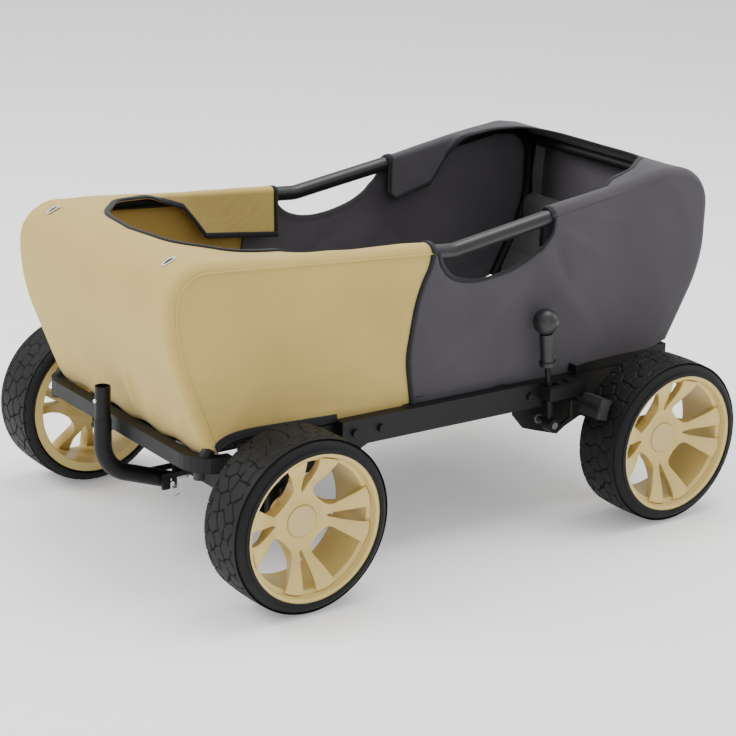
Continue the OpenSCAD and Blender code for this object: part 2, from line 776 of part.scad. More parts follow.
module tyre(side, y) {
    section = [
        [barrel_r, -seat_w / 2, 0], [lip_r + 0.5, -seat_w / 2, 0], [lip_r + 0.5, -tyre_w / 2, 4],
        [wheel_r, -tyre_w / 2, 14], [wheel_r, tyre_w / 2, 14], [lip_r + 0.5, tyre_w / 2, 4],
        [lip_r + 0.5, seat_w / 2, 0], [barrel_r, seat_w / 2, 0]];
    color("#303234") at_wheel(side, y) rotate_extrude($fn = 96) polygon(rounded(section));
}

// Window corners on polar lines, as [x, y, radius]
window_in = hub_r + 20;
window_out = barrel_r - barrel_t - 7;
function polar(r, a, round) = [r * cos(a), r * sin(a), round];

module window() {
    polygon(closed_round([polar(window_in, -15, 8), polar(window_out, -24, 12),
        polar(window_out + 3, 0, 60), polar(window_out, 24, 12), polar(window_in, 15, 8)]));
}

module slot() {
    polygon(closed_round([polar(window_in + 2, -3, 2), polar(window_out - 4, -7.5, 6),
        polar(window_out - 4, 7.5, 6), polar(window_in + 2, 3, 2)]));
}

// A closed loop with all its corners rounded
function closed_round(loop) = let (n = len(loop),
    wrapped = [for (i = [0 : n + 1]) loop[(i + n - 1) % n]])
    [for (i = [1 : n]) each corner_points(wrapped, i, 4)];

module rim(side, y) {
    half_seat = seat_w / 2;
    face = half_seat + lip_t;
    bore_in = barrel_r - barrel_t;
    color("#CDBD90") at_wheel(side, y) difference() {
        rotate_extrude($fn = 96) polygon([
            [bush_r, hub_in], [hub_r, hub_in], [hub_r, -disc_t], [hub_r + 34, cap_face - disc_t],
            [bore_in, half_seat - 5 - disc_t], [bore_in, -face], [lip_r, -face],
            [lip_r, -half_seat], [barrel_r, -half_seat], [barrel_r, half_seat], [lip_r, half_seat],
            [lip_r, face], [bore_in, face], [bore_in, half_seat - 5], [hub_r + 34, cap_face],
            [cap_r + 4, cap_face - 3], [cap_r + 1.3, cap_face - 3], [cap_r + 1.3, cap_face - 7],
            [cap_r - 4, cap_face - 7],
            [cap_r - 4, 0], [bush_r, 0]]);
        for (k = [0 : 3]) rotate([0, 0, 22.5 + 90 * k]) {
            translate([0, 0, -10]) linear_extrude(70) window();
            rotate([0, 0, 45]) translate([0, 0, -10]) linear_extrude(70) slot();
        }
    }
}

module hub_cap(side, y) {
    color("#C4B283") at_wheel(side, y) rotate_extrude($fn = 64) difference() {
        polygon(concat([[0, cap_face - 7]], rounded([[cap_r + 1, cap_face - 7, 0],
            [cap_r + 1, cap_face - 1, 3], [0, cap_face, 0]])));
        polygon([[-1, cap_face - 8], [cap_r - 5, cap_face - 8], [cap_r - 5, cap_face - 3], [-1, cap_face - 2]]);
    }
}

module bushes(side, y) {
    bore = axle_d / 2 + running;
    color("#6F7072") at_wheel(side, y) rotate_extrude() union() {
        translate([bore, hub_in]) square([bush_r - bore, bush_l]);
        translate([bore, hub_in - flange_t]) square([hub_r - 6 - bore, flange_t]);
        translate([bore, -bush_l]) square([bush_r - bore, bush_l]);
        translate([bore, 0]) square([hub_r - 6 - bore, flange_t]);
    }
}

// ---- Brake ----

hub_start = half_w + 22;
hub_end = arm_x + 6;
module brake_shaft() {
    color("#6C6E71") bar_x(-hub_end, hub_end, brake_shaft_d, shaft_y, shaft_z);
}

module brake_bushes() {
    color("#E3E3DF") both_sides() difference() {
        bar_x(plate_x, rail_x, brake_shaft_d + 4, shaft_y, shaft_z);
        bar_x(plate_x - 1, rail_x + 1, brake_shaft_d + 2 * running, shaft_y, shaft_z);
    }
}

module lean() {
    translate([lever_x, shaft_y, shaft_z]) rotate([lever_lean, 0, 0]) children();
}

knob_up = (deck_z + knob_h - shaft_z) / cos(lever_lean);
grip_low = knob_up - 76;
grip_high = knob_up - knob_d / 2 + 1;

module brake_lever() {
    color("#3A3C3F") difference() {
        union() {
            lean() cylinder(h = knob_up + 8, d = lever_d);
            bar_x(hub_start, hub_end, 24, shaft_y, shaft_z);
        }
        bar_x(hub_start - 1, hub_end + 1, brake_shaft_d, shaft_y, shaft_z);
    }
}

module lever_grip() {
    color("#1F2022") lean() difference() {
        union() {
            translate([0, 0, grip_low]) cylinder(h = grip_high - grip_low, d = 23);
            translate([0, 0, grip_low]) cylinder(h = 7, d = 28);
        }
        translate([0, 0, grip_low - 1]) cylinder(h = grip_high - grip_low + 2, d = lever_d);
    }
}

module lever_knob() {
    color("#1F2022") lean() difference() {
        translate([0, 0, knob_up]) sphere(d = knob_d);
        translate([0, 0, knob_up - knob_d]) cylinder(h = knob_d + 8, d = lever_d);
        translate([0, 0, knob_up - knob_d]) cylinder(h = knob_d + grip_high - knob_up, d = 40);
    }
}

// Turns a shape drawn at the end of the brake's travel back to rest
module released() {
    translate([0, shaft_y, shaft_z]) rotate([brake_travel, 0, 0]) translate([0, -shaft_y, -shaft_z]) children();
}

// Where the pad's carrying bar lies when the pad touches the tyre
carry_r = wheel_r + pad_stop + pad_t + bar_d / 2;
carry_y = rear_axle_y - carry_r * cos(pad_angle);
carry_z = axle_z + carry_r * sin(pad_angle);
pad_x = wheel_x - pad_w / 2 - 6;

module brake_arms() {
    path = [
        [shaft_y + 4, shaft_z - 14, 0], [shaft_y + 40, shaft_z + 2, 9],
        [shaft_y + 42, shaft_z + 22, 9], [carry_y, carry_z, 0]];
    color("#3A3C3F") both_sides() released() difference() {
        union() {
            swept_tube(path, bar_d, 0, arm_x, sides = 12);
            bar_x(arm_x - bar_d / 2, pad_x + pad_w, bar_d, carry_y, carry_z);
        }
        bar_x(hub_start, hub_end + 20, 24, shaft_y, shaft_z);
    }
}

module brake_pads() {
    color("#1B1C1D") both_sides() released() difference() {
        translate([pad_x, rear_axle_y, axle_z]) rotate([-pad_angle, 0, 0])
            box(0, pad_w, -carry_r, -carry_r + bar_d / 2 + pad_t + 4, -pad_l / 2, pad_l / 2);
        bar_x(pad_x - 1, pad_x + pad_w + 1, 2 * (wheel_r + pad_stop), rear_axle_y, axle_z, fn = 96);
        bar_x(pad_x - 1, pad_x + pad_w + 1, bar_d, carry_y, carry_z);
    }
}

module lever_box() {
    wall = 2;
    slot_w = lever_d + 4;
    color("#2F3133") difference() {
        box(box_x, box_x + box_w, box_y, box_y + box_l, box_top - box_h, box_top);
        box(box_x + wall, box_x + box_w - wall, box_y + wall, box_y + box_l - wall,
            box_top - box_h - 1, box_top - wall);
        box(lever_x - slot_w / 2, lever_x + slot_w / 2, box_y + 3, box_y + 32, box_top - 5, box_top + 1);
        translate([box_x + 11, box_y + 54, box_top - 10]) cylinder(h = 20, d = 6);
    }
}

// ---- Nodes ----

side_rail(LEFT);  // side_rail_left
side_rail(RIGHT);  // side_rail_right
front_arch_tubes();
rear_arch_tubes();
front_bumper();
bumper_feet();
cross_tubes();
floor_panel();
side_plates();
front_axle_beam();
kingpin_brackets();
steering_bolts();
rear_axle_beam();
rear_axle();
rear_axle_nuts();
brake_bushes();
lever_box();
frame_bolts();
hoop(LEFT);  // hoop_left
hoop(RIGHT);  // hoop_right
hoop_grips();
top_bows();
front_wrap_panel();
front_side_panel(LEFT);  // front_side_panel_left
front_side_panel(RIGHT);  // front_side_panel_right
rear_wrap_panel();
rear_side_panel(LEFT);  // rear_side_panel_left
rear_side_panel(RIGHT);  // rear_side_panel_right
inner_flaps();
backrest_pad();
harness_straps();
knuckle(LEFT);  // knuckle_left
knuckle(RIGHT);  // knuckle_right
tow_swivel();
tow_pin();
track_rod();
tow_tube();
snap_button();
brake_shaft();
brake_lever();
lever_grip();
lever_knob();
brake_arms();
brake_pads();
tyre(LEFT, front_axle_y);  // tyre_front_left
rim(LEFT, front_axle_y);  // rim_front_left
hub_cap(LEFT, front_axle_y);  // hub_cap_front_left
bushes(LEFT, front_axle_y);  // bushes_front_left
tyre(RIGHT, front_axle_y);  // tyre_front_right
rim(RIGHT, front_axle_y);  // rim_front_right
hub_cap(RIGHT, front_axle_y);  // hub_cap_front_right
bushes(RIGHT, front_axle_y);  // bushes_front_right
tyre(LEFT, rear_axle_y);  // tyre_rear_left
rim(LEFT, rear_axle_y);  // rim_rear_left
hub_cap(LEFT, rear_axle_y);  // hub_cap_rear_left
bushes(LEFT, rear_axle_y);  // bushes_rear_left
tyre(RIGHT, rear_axle_y);  // tyre_rear_right
rim(RIGHT, rear_axle_y);  // rim_rear_right
hub_cap(RIGHT, rear_axle_y);  // hub_cap_rear_right
bushes(RIGHT, rear_axle_y);  // bushes_rear_right
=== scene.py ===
"""Children's pull wagon: cloth covers, tyres, rims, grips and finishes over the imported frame."""

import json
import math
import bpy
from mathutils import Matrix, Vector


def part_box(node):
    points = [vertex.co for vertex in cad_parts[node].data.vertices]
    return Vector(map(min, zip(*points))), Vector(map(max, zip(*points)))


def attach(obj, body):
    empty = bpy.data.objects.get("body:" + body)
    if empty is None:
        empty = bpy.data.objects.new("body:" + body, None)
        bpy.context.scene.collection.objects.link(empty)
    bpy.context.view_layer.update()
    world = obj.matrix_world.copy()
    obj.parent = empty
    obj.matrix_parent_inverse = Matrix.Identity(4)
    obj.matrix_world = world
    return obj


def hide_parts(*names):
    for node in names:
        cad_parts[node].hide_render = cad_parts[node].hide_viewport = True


bl_info = {
    "name": "Pull Wagon Dresser",
    "version": (1, 0, 0),
    "blender": (4, 5, 0),
    "location": "View3D > Sidebar > Wagon",
    "description": "Makes the covers, tyres, rims, grips and finishes of a children's pull wagon",
    "category": "Add Mesh",
}
import bmesh
import bpy
import numpy as np
from bpy.props import FloatProperty, FloatVectorProperty, IntProperty, PointerProperty
from mathutils import Matrix, Vector

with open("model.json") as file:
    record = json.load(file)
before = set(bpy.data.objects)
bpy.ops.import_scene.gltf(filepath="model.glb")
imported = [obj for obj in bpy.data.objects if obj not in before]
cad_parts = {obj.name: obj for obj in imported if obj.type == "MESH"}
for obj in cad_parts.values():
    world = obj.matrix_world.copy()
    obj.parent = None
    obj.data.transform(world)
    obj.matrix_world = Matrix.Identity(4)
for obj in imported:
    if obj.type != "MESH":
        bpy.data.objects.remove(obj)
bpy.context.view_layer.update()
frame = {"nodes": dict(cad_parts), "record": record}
MM = 0.001
SIDES = {"left": 1.0, "right": -1.0}
WHEELS = [(end, side) for end in ("front", "rear") for side in ("left", "right")]


def mm_box(node):
    """A CAD node's lowest and highest corners in millimetres."""
    low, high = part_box(node)
    return np.array(low) * 1000.0, np.array(high) * 1000.0


# ---- Sizes that the frame gives ----
FRONT_LOW, FRONT_HIGH = mm_box("front_wrap_panel")
TUB_FRONT, TUB_BACK = FRONT_LOW[1], mm_box("rear_wrap_panel")[1][1]
HALF_W = FRONT_HIGH[0]
FLOOR_LOW, FLOOR_HIGH = mm_box("floor_panel")
DECK = FLOOR_LOW[2] - 2.0
TYRE_LOW, TYRE_HIGH = mm_box("tyre_rear_left")
WHEEL_R = (TYRE_HIGH[2] - TYRE_LOW[2]) / 2
TYRE_W = TYRE_HIGH[0] - TYRE_LOW[0]
WHEEL_X = (TYRE_HIGH[0] + TYRE_LOW[0]) / 2
AXLE_Y = (TYRE_HIGH[1] + TYRE_LOW[1]) / 2
# The tub's side outline as y, z and corner radius, front bottom to back bottom
OUTLINE = [
    (TUB_FRONT + 74, DECK - 22, 0), (TUB_FRONT, DECK + 156, 300), (TUB_FRONT, DECK + 282, 62),
    (TUB_FRONT + 528, DECK + 252, 60), (TUB_BACK - 100, DECK + 326, 90), (TUB_BACK, DECK + 314, 72),
    (TUB_BACK, DECK + 152, 220), (TUB_BACK - 74, DECK + 18, 0)]
# The covers bend over their top edges: the bend's radius and arc, where it starts, and the seam that ends it as a
# distance along the cloth, an x and a depth
ROLL_R = 20.0
ROLL_ARC = math.radians(70)
ROLL_FLAT = HALF_W - ROLL_R
SEAM_U = ROLL_FLAT + ROLL_R * ROLL_ARC
SEAM_X = ROLL_FLAT + ROLL_R * math.sin(ROLL_ARC)
SEAM_DEPTH = ROLL_R * (1 - math.cos(ROLL_ARC))
HOOP_X = (mm_box("hoop_left")[0][0] + mm_box("hoop_left")[1][0]) / 2
# How far inside the outline the hoops' middle line runs, and the y between which the foam grips show
HOOP_IN = 15.2
GRIP_START, GRIP_END = -48.0, 184.0
# Where the front wrap's rear edge lies, just ahead of the grips
FRONT_WRAP_END = GRIP_START - 6
# Columns of a wrap's grid, rows beside the corner and rows along the hem, and points of the opening's edge
WRAP_COLS, CORNER_ROWS, HEM_ROWS, EDGE_POINTS = 46, 90, 70, 400
# A flap's fold inside the rail: its x and the radius of its turn
FLAP_X, FLAP_TURN = 209.5, 9.0
# Width over which a side panel's face rises from its seam
SEAM_RISE = 24.0
# The eyelets' centre across and along, and their half width and half length
EYELET_X, EYELET_Y, EYELET_HALF_W, EYELET_HALF_L = 178.0, -504.0, 4.6, 11.0
# Steps round a tyre and points of its section
TYRE_STEPS, TYRE_POINTS = 860, 112
# Steps round a rim
RIM_STEPS = 144
# The camera, in degrees, metres and millimetres of lens
AZIMUTH, ELEVATION, ROLL, DISTANCE, LENS = 53.43, 17.85, 2.14, 3.58777, 105.78277
TARGET = (0.06654, -0.05154, 0.25254)
# Each lamp's name, place and size in metres, and power in watts
LAMPS = [
    ("key", (-1.8, -3.2, 3.2), 2.4, 152), ("fill", (3.4, -1.2, 1.8), 2.2, 14),
    ("top", (0.0, 0.9, 4.2), 3.0, 135), ("rim", (1.4, 3.6, 2.2), 1.6, 25)]
# Half the stage floor's side in mm
FLOOR_HALF = 40000


# ---- Settings ----

class WagonSizes(bpy.types.PropertyGroup):
    """Sizes of the made pieces"""
    cover_t: FloatProperty(name="Cover cloth", description="Thickness of the covers' cloth", default=0.0018,
        unit="LENGTH")
    piping_d: FloatProperty(name="Piping", description="Diameter of the piping in the front seam", default=0.0034,
        unit="LENGTH")
    tread_depth: FloatProperty(name="Tread depth", description="Depth of the grooves in the tyres", default=0.0032,
        unit="LENGTH")
    tread_block: FloatProperty(name="Tread block", description="Mean length of a tread block", default=0.029,
        unit="LENGTH")
    tread_seed: IntProperty(name="Tread seed", description="Seed of the tread's irregular blocks", default=7)
    grip_d: FloatProperty(name="Grip", description="Outside diameter of the foam grips", default=0.0254, unit="LENGTH")
    wrinkle: FloatProperty(name="Wrinkle", description="Height of the cloth's folds, as a share of the made ones",
        default=1.0)


def hex_linear(code):
    """A hex sRGB colour as linear red, green, blue."""
    channel = [int(code[i:i + 2], 16) / 255 for i in (1, 3, 5)]
    return tuple(c / 12.92 if c <= 0.04045 else ((c + 0.055) / 1.055) ** 2.4 for c in channel)


def colour(name, code, words):
    return FloatVectorProperty(name=name, description=words, subtype="COLOR", size=3, min=0, max=1,
        default=hex_linear(code))


class WagonColours(bpy.types.PropertyGroup):
    """Colours of the finishes"""
    sand: colour("Sand cover", "#C3AA63", "The front cover's polyester")
    charcoal: colour("Charcoal cover", "#464348", "The rear cover's polyester")
    # Brighter than the sand outside: painted light that lifts the shaded inside of the tub
    lining_painted_light: colour("Lining", "#CDAC5C", "The inside of the front cover")
    tape: colour("Binding tape", "#1B1C1F", "The tape along the cloth's edges")
    padding: colour("Padding", "#3E403F", "The padded back")
    webbing: colour("Webbing", "#4A4B4D", "The harness webbing")
    steel: colour("Powder coat", "#131416", "The painted frame")
    tyre: colour("Tyre", "#121314", "The foam rubber tyres")
    rim: colour("Rim", "#CAB26D", "The moulded rims")
    cap: colour("Hub cap", "#C2AC74", "The hub caps")


# ---- Numpy shapes, in millimetres ----

def unit(v):
    """Each vector divided by its length."""
    return v / np.maximum(np.linalg.norm(v, axis=-1, keepdims=True), 1e-9)


def smooth(x, a, b):
    """0 below a, 1 above b, and 3t^2 - 2t^3 between."""
    t = np.clip((np.asarray(x, float) - a) / (b - a), 0, 1)
    return t * t * (3 - 2 * t)


def even(points, count):
    """A polyline walked again at count points equally far apart along it."""
    points = np.asarray(points, float)
    along = np.concatenate([[0], np.cumsum(np.linalg.norm(np.diff(points, axis=0), axis=1))])
    s = np.linspace(0, along[-1], count)
    return np.stack([np.interp(s, along, points[:, k]) for k in range(points.shape[1])], 1)


def rounded(path, count):
    """A polyline with each corner replaced by the arc of its radius, tangent to both sides, at count even points."""
    corners = np.array([p[:2] for p in path], float)
    out = [corners[:1]]
    for i in range(1, len(path) - 1):
        r = path[i][2]
        u, v = unit(corners[i - 1] - corners[i]), unit(corners[i + 1] - corners[i])
        half = math.acos(max(-1, min(1, float(u @ v)))) / 2
        if r <= 0 or half > math.pi / 2 - 1e-3:
            out.append(corners[i:i + 1])
            continue
        c = corners[i] + unit(u + v) * r / math.sin(half)
        a, b = corners[i] + u * r / math.tan(half) - c, corners[i] + v * r / math.tan(half) - c
        w, turn = np.linspace(0, 1, 25)[:, None], math.pi - 2 * half
        out.append(c + (a * np.sin(turn * (1 - w)) + b * np.sin(turn * w)) / math.sin(turn))
    out.append(corners[-1:])
    return even(np.concatenate(out), count)


def curve(points, count, passes=2):
    """A smooth line through points: Chaikin's corner cutting, each side cut at a quarter and three quarters, passes
    times."""
    p = np.asarray(points, float)
    for _ in range(passes):
        q, r = 0.75 * p[:-1] + 0.25 * p[1:], 0.25 * p[:-1] + 0.75 * p[1:]
        p = np.concatenate([p[:1], np.stack([q, r], 1).reshape(-1, p.shape[1]), p[-1:]])
    return even(p, count)


class Profile:
    """The tub's outline, walked by arc length s, with its outward normal."""
    def __init__(self, path):
        self.points = rounded(path, 1600)
        step = np.linalg.norm(np.diff(self.points, axis=0), axis=1)
        self.s = np.concatenate([[0], np.cumsum(step)])
        t = unit(np.gradient(self.points, axis=0))
        n = np.stack([-t[:, 1], t[:, 0]], 1)
        kernel = np.ones(15) / 15
        padded = np.pad(n, ((7, 7), (0, 0)), "edge")
        self.normal = unit(np.stack([np.convolve(padded[:, k], kernel, "valid") for k in (0, 1)], 1))

    def at(self, s):
        """y, z and the outward normal at arc length s."""
        p = [np.interp(s, self.s, self.points[:, k]) for k in (0, 1)]
        n = [np.interp(s, self.s, self.normal[:, k]) for k in (0, 1)]
        return p[0], p[1], n[0], n[1]

    def s_at_y(self, y, part):
        """Arc length where the outline's top run has this y; part is the slice of points to look in."""
        p, s = self.points[part], self.s[part]
        order = np.argsort(p[:, 0])
        return np.interp(y, p[order, 0], s[order])


TUB = Profile(OUTLINE)
TOP_RUN = np.flatnonzero((TUB.points[:, 1] > DECK + 235) & (np.abs(TUB.points[:, 0]) < TUB_BACK - 6))


def on_tub(u, s, depth=0.0):
    """A point of the covers' roll: u runs across the wagon and bends round a ROLL_R radius past ROLL_FLAT, s runs
    along the outline, and depth goes inwards."""
    y, z, ny, nz = TUB.at(s)
    angle = np.maximum(np.abs(u) - ROLL_FLAT, 0) / ROLL_R
    x = np.sign(u) * (np.minimum(np.abs(u), ROLL_FLAT) + ROLL_R * np.sin(angle))
    d = depth + ROLL_R * (1 - np.cos(angle))
    return np.stack([x, y - d * ny, z - d * nz], -1)


def normals(grid):
    """Unit normals of a grid of points: the cross product of its two central differences."""
    return unit(np.cross(np.gradient(grid, axis=0), np.gradient(grid, axis=1)))


def waves(p, seed, size):
    """Smooth noise from -1 to 1: the mean of eight sines whose directions and phases come from the seed, size apart."""
    rng = np.random.default_rng(seed)
    out = 0
    for _ in range(8):
        k = unit(rng.normal(size=3)) * (0.6 + 0.9 * rng.random()) * 2 * math.pi / size
        out = out + np.sin(p @ k + rng.random() * 6.28)
    return out / 4


def fold(p, a, b, width, axes=(1, 2)):
    """A fold's height, 0 to 1: a bell across the line from a to b, width wide, that fades towards both ends."""
    q = p[..., list(axes)]
    a, b = np.array(a, float), np.array(b, float)
    along = ((q - a) @ (b - a)) / ((b - a) @ (b - a))
    away = np.linalg.norm(q - (a + np.clip(along, 0, 1)[..., None] * (b - a)), axis=-1)
    return np.exp(-(away / width) ** 2) * np.sin(math.pi * np.clip(along, 0.02, 0.98)) ** 0.7


def coons(left, right, bottom, top):
    """A patch between four edges: the two ruled surfaces added, less the bilinear one through the corners."""
    v, u = np.linspace(0, 1, len(left))[:, None, None], np.linspace(0, 1, len(bottom))[None, :, None]
    ruled = (1 - u) * left[:, None] + u * right[:, None] + (1 - v) * bottom[None] + v * top[None]
    flat = (1 - u) * (1 - v) * left[0] + u * (1 - v) * right[0] + (1 - u) * v * left[-1] + u * v * right[-1]
    return ruled - flat


def line_gap(points, line):
    """Distance from each point to the nearest point of a line."""
    flat = points.reshape(-1, points.shape[-1])
    out = np.empty(len(flat))
    for i in range(0, len(flat), 4000):
        out[i:i + 4000] = np.sqrt(((flat[i:i + 4000, None] - line[None]) ** 2).sum(-1)).min(1)
    return out.reshape(points.shape[:-1])


# ---- Meshes ----

def mesh_piece(name, parts, smooth_faces=True):
    """One object from (points grid, closed rows, closed columns, flip, uv grid in mm or None) parts, in metres."""
    verts, faces, uvs, base = [], [], [], 0
    for grid, wrap_r, wrap_c, flip, uv in parts:
        rows, cols = grid.shape[:2]
        index = np.arange(rows * cols).reshape(rows, cols)
        a = index if wrap_r else index[:-1]
        b = np.roll(index, -1, 0) if wrap_r else index[1:]
        if wrap_c:
            quads = np.stack([a, b, np.roll(b, -1, 1), np.roll(a, -1, 1)], -1)
        else:
            quads = np.stack([a[:, :-1], b[:, :-1], b[:, 1:], a[:, 1:]], -1)
        quads = quads.reshape(-1, 4)
        faces.append((quads[:, ::-1] if flip else quads) + base)
        verts.append(grid.reshape(-1, 3))
        uvs.append((np.zeros((rows * cols, 2)) if uv is None else uv.reshape(-1, 2)))
        base += rows * cols
    verts, faces, uvs = np.concatenate(verts) * MM, np.concatenate(faces), np.concatenate(uvs) * MM
    mesh = bpy.data.meshes.new(name)
    mesh.from_pydata(verts.tolist(), [], faces.tolist())
    layer = mesh.uv_layers.new(name="cloth")
    layer.data.foreach_set("uv", uvs[faces.reshape(-1)].reshape(-1))
    mesh.polygons.foreach_set("use_smooth", np.full(len(faces), smooth_faces))
    mesh.update()
    piece = bpy.data.objects.new(name, mesh)
    bpy.context.scene.collection.objects.link(piece)
    return piece


def weld(piece, gap=0.00005):
    """Merges the piece's doubled points, so that seams and poles are closed."""
    bm = bmesh.new()
    bm.from_mesh(piece.data)
    bmesh.ops.remove_doubles(bm, verts=bm.verts, dist=gap)
    bmesh.ops.recalc_face_normals(bm, faces=bm.faces)
    bm.to_mesh(piece.data)
    bm.free()


def frames(path, up):
    """Unit tangent, side and up directions along a path; up is a vector or one per point."""
    t = unit(np.gradient(path, axis=0))
    side = unit(np.cross(t, np.broadcast_to(up, path.shape)))
    return t, side, np.cross(side, t)


def carried(path, ring, up):
    """A closed outline of (side, up) offsets carried along a path."""
    _, side, top = frames(path, up)
    return path[:, None] + ring[None, :, :1] * side[:, None] + ring[None, :, 1:] * top[:, None]


def circle(r, count, squeeze=1.0):
    """count points round an ellipse of radii r and r times squeeze."""
    a = np.linspace(0, 2 * math.pi, count, endpoint=False)
    return np.stack([r * np.cos(a), squeeze * r * np.sin(a)], 1)


def capped(grid):
    """A tube's grid with both ends closed to their centres."""
    first = np.repeat(grid[:1].mean(1, keepdims=True), grid.shape[1], 1)
    last = np.repeat(grid[-1:].mean(1, keepdims=True), grid.shape[1], 1)
    return np.concatenate([first, grid, last])


def tape(edge, inward, face, width, half=1.7):
    """A folded tape over a cloth edge: a flat U of that width, its fold just past the edge, carried along it. inward
    and face are unit vectors at each point."""
    ring = np.array([(-width, half), (-width * 0.5, half + 0.35), (-0.6, half + 0.1), (0.9, half * 0.55), (1.3, 0),
                     (0.9, -half * 0.55), (-0.6, -half - 0.1), (-width * 0.5, -half - 0.35), (-width, -half)])
    inward = unit(inward)
    face = unit(face - (face * inward).sum(-1, keepdims=True) * inward)
    grid = edge[:, None] - inward[:, None] * ring[None, :, :1] + face[:, None] * ring[None, :, 1:]
    length = np.concatenate([[0], np.cumsum(np.linalg.norm(np.diff(edge, axis=0), axis=1))])
    around = np.concatenate([[0], np.cumsum(np.linalg.norm(np.diff(ring, axis=0), axis=1))])
    uv = np.stack(np.broadcast_arrays(length[:, None], around[None]), -1)
    return capped(grid), np.concatenate([uv[:1], uv, uv[-1:]])


# ---- Finishes ----

def add(tree, kind, settings=None, inputs=None):
    """Adds a node with its settings; inputs are constants, or sockets to link from."""
    node = tree.nodes.new(kind)
    for key, value in (settings or {}).items():
        setattr(node, key, value)
    for key, value in (inputs or {}).items():
        if isinstance(value, bpy.types.NodeSocket):
            tree.links.new(value, node.inputs[key])
        else:
            node.inputs[key].default_value = value
    return node


def finish_of(name):
    """A new material with its node tree emptied down to a shader and an output."""
    material = bpy.data.materials.new(name)
    material.use_nodes = True
    tree = material.node_tree
    tree.nodes.clear()
    shader = add(tree, "ShaderNodeBsdfPrincipled")
    add(tree, "ShaderNodeOutputMaterial", inputs={"Surface": shader.outputs[0]})
    return material, tree, shader


def shade(rgb, factor):
    return tuple(min(1.0, c * factor) for c in rgb) + (1.0,)


def mottled(tree, vector, rgb, spread, scale, detail=4.0):
    """A colour that varies by spread either way over patches 1 / scale metres across."""
    noise = add(tree, "ShaderNodeTexNoise", inputs={"Vector": vector, "Scale": scale, "Detail": detail,
        "Roughness": 0.55})
    ramp = add(tree, "ShaderNodeValToRGB", inputs={"Fac": noise.outputs["Fac"]})
    low, high = ramp.color_ramp.elements
    low.position, high.position = 0.3, 0.7
    low.color, high.color = shade(rgb, 1 - spread), shade(rgb, 1 + spread)
    return ramp.outputs["Color"]


def woven(name, rgb, thread=1.1, roughness=0.86, depth=0.00022, spread=0.05, sheen=0.12, crumple=0.0006):
    """Plain-woven polyester: crossing yarns on the UVs, thread mm apart, drawn coarser than the real 0.4 mm so that
    they show, with soft crumples and a dull sheen."""
    material, tree, shader = finish_of(name)
    uv = add(tree, "ShaderNodeUVMap", {"uv_map": "cloth"})
    at = add(tree, "ShaderNodeTexCoord").outputs["Object"]
    scale = 1000.0 / thread / 2
    warp = add(tree, "ShaderNodeTexWave", {"bands_direction": "X", "wave_profile": "SIN"},
        {"Vector": uv.outputs[0], "Scale": scale, "Distortion": 0.6, "Detail": 1.0, "Detail Scale": 0.5})
    weft = add(tree, "ShaderNodeTexWave", {"bands_direction": "Y", "wave_profile": "SIN"},
        {"Vector": uv.outputs[0], "Scale": scale, "Distortion": 0.6, "Detail": 1.0, "Detail Scale": 0.5})
    over = add(tree, "ShaderNodeMath", {"operation": "MULTIPLY"}, {0: warp.outputs["Fac"], 1: weft.outputs["Fac"]})
    crumples = add(tree, "ShaderNodeTexNoise", inputs={"Vector": at, "Scale": 26.0, "Detail": 5.0, "Roughness": 0.5,
        "Distortion": 0.4})
    base = mottled(tree, at, rgb, spread, 9.0)
    yarn = add(tree, "ShaderNodeMix", {"data_type": "RGBA", "blend_type": "MULTIPLY"}, {"Factor": 0.16, 6: base})
    tone = add(tree, "ShaderNodeValToRGB", inputs={"Fac": over.outputs[0]})
    tone.color_ramp.elements[0].color = (0.35, 0.35, 0.35, 1)
    tree.links.new(tone.outputs["Color"], yarn.inputs[7])
    weave = add(tree, "ShaderNodeBump", inputs={"Strength": 0.55, "Distance": depth, "Height": over.outputs[0]})
    soft = add(tree, "ShaderNodeBump", inputs={"Strength": 0.6, "Distance": crumple,
        "Height": crumples.outputs["Fac"], "Normal": weave.outputs[0]})
    tree.links.new(yarn.outputs[2], shader.inputs["Base Color"])
    tree.links.new(soft.outputs[0], shader.inputs["Normal"])
    shader.inputs["Roughness"].default_value = roughness
    shader.inputs["Sheen Weight"].default_value = sheen
    shader.inputs["Sheen Roughness"].default_value = 0.5
    shader.inputs["Specular IOR Level"].default_value = 0.25
    return material


def grained(name, rgb, grain_mm, depth, roughness, spread=0.06, metallic=0.0, rough_spread=0.08, specular=0.5):
    """A moulded, coated or rubber surface: grain_mm grains in the bump, a mottled colour and a roughness that varies
    a little."""
    material, tree, shader = finish_of(name)
    at = add(tree, "ShaderNodeTexCoord").outputs["Object"]
    grain = add(tree, "ShaderNodeTexNoise", inputs={"Vector": at, "Scale": 1000.0 / grain_mm, "Detail": 3.0,
        "Roughness": 0.6})
    bump = add(tree, "ShaderNodeBump", inputs={"Strength": 0.5, "Distance": depth, "Height": grain.outputs["Fac"]})
    wear = add(tree, "ShaderNodeTexNoise", inputs={"Vector": at, "Scale": 22.0, "Detail": 6.0, "Roughness": 0.65})
    rough = add(tree, "ShaderNodeMapRange", inputs={"Value": wear.outputs["Fac"], "To Min": roughness - rough_spread,
        "To Max": roughness + rough_spread})
    tree.links.new(mottled(tree, at, rgb, spread, 14.0), shader.inputs["Base Color"])
    tree.links.new(rough.outputs[0], shader.inputs["Roughness"])
    tree.links.new(bump.outputs[0], shader.inputs["Normal"])
    shader.inputs["Metallic"].default_value = metallic
    shader.inputs["IOR"].default_value = 1.5
    shader.inputs["Specular IOR Level"].default_value = specular
    return material


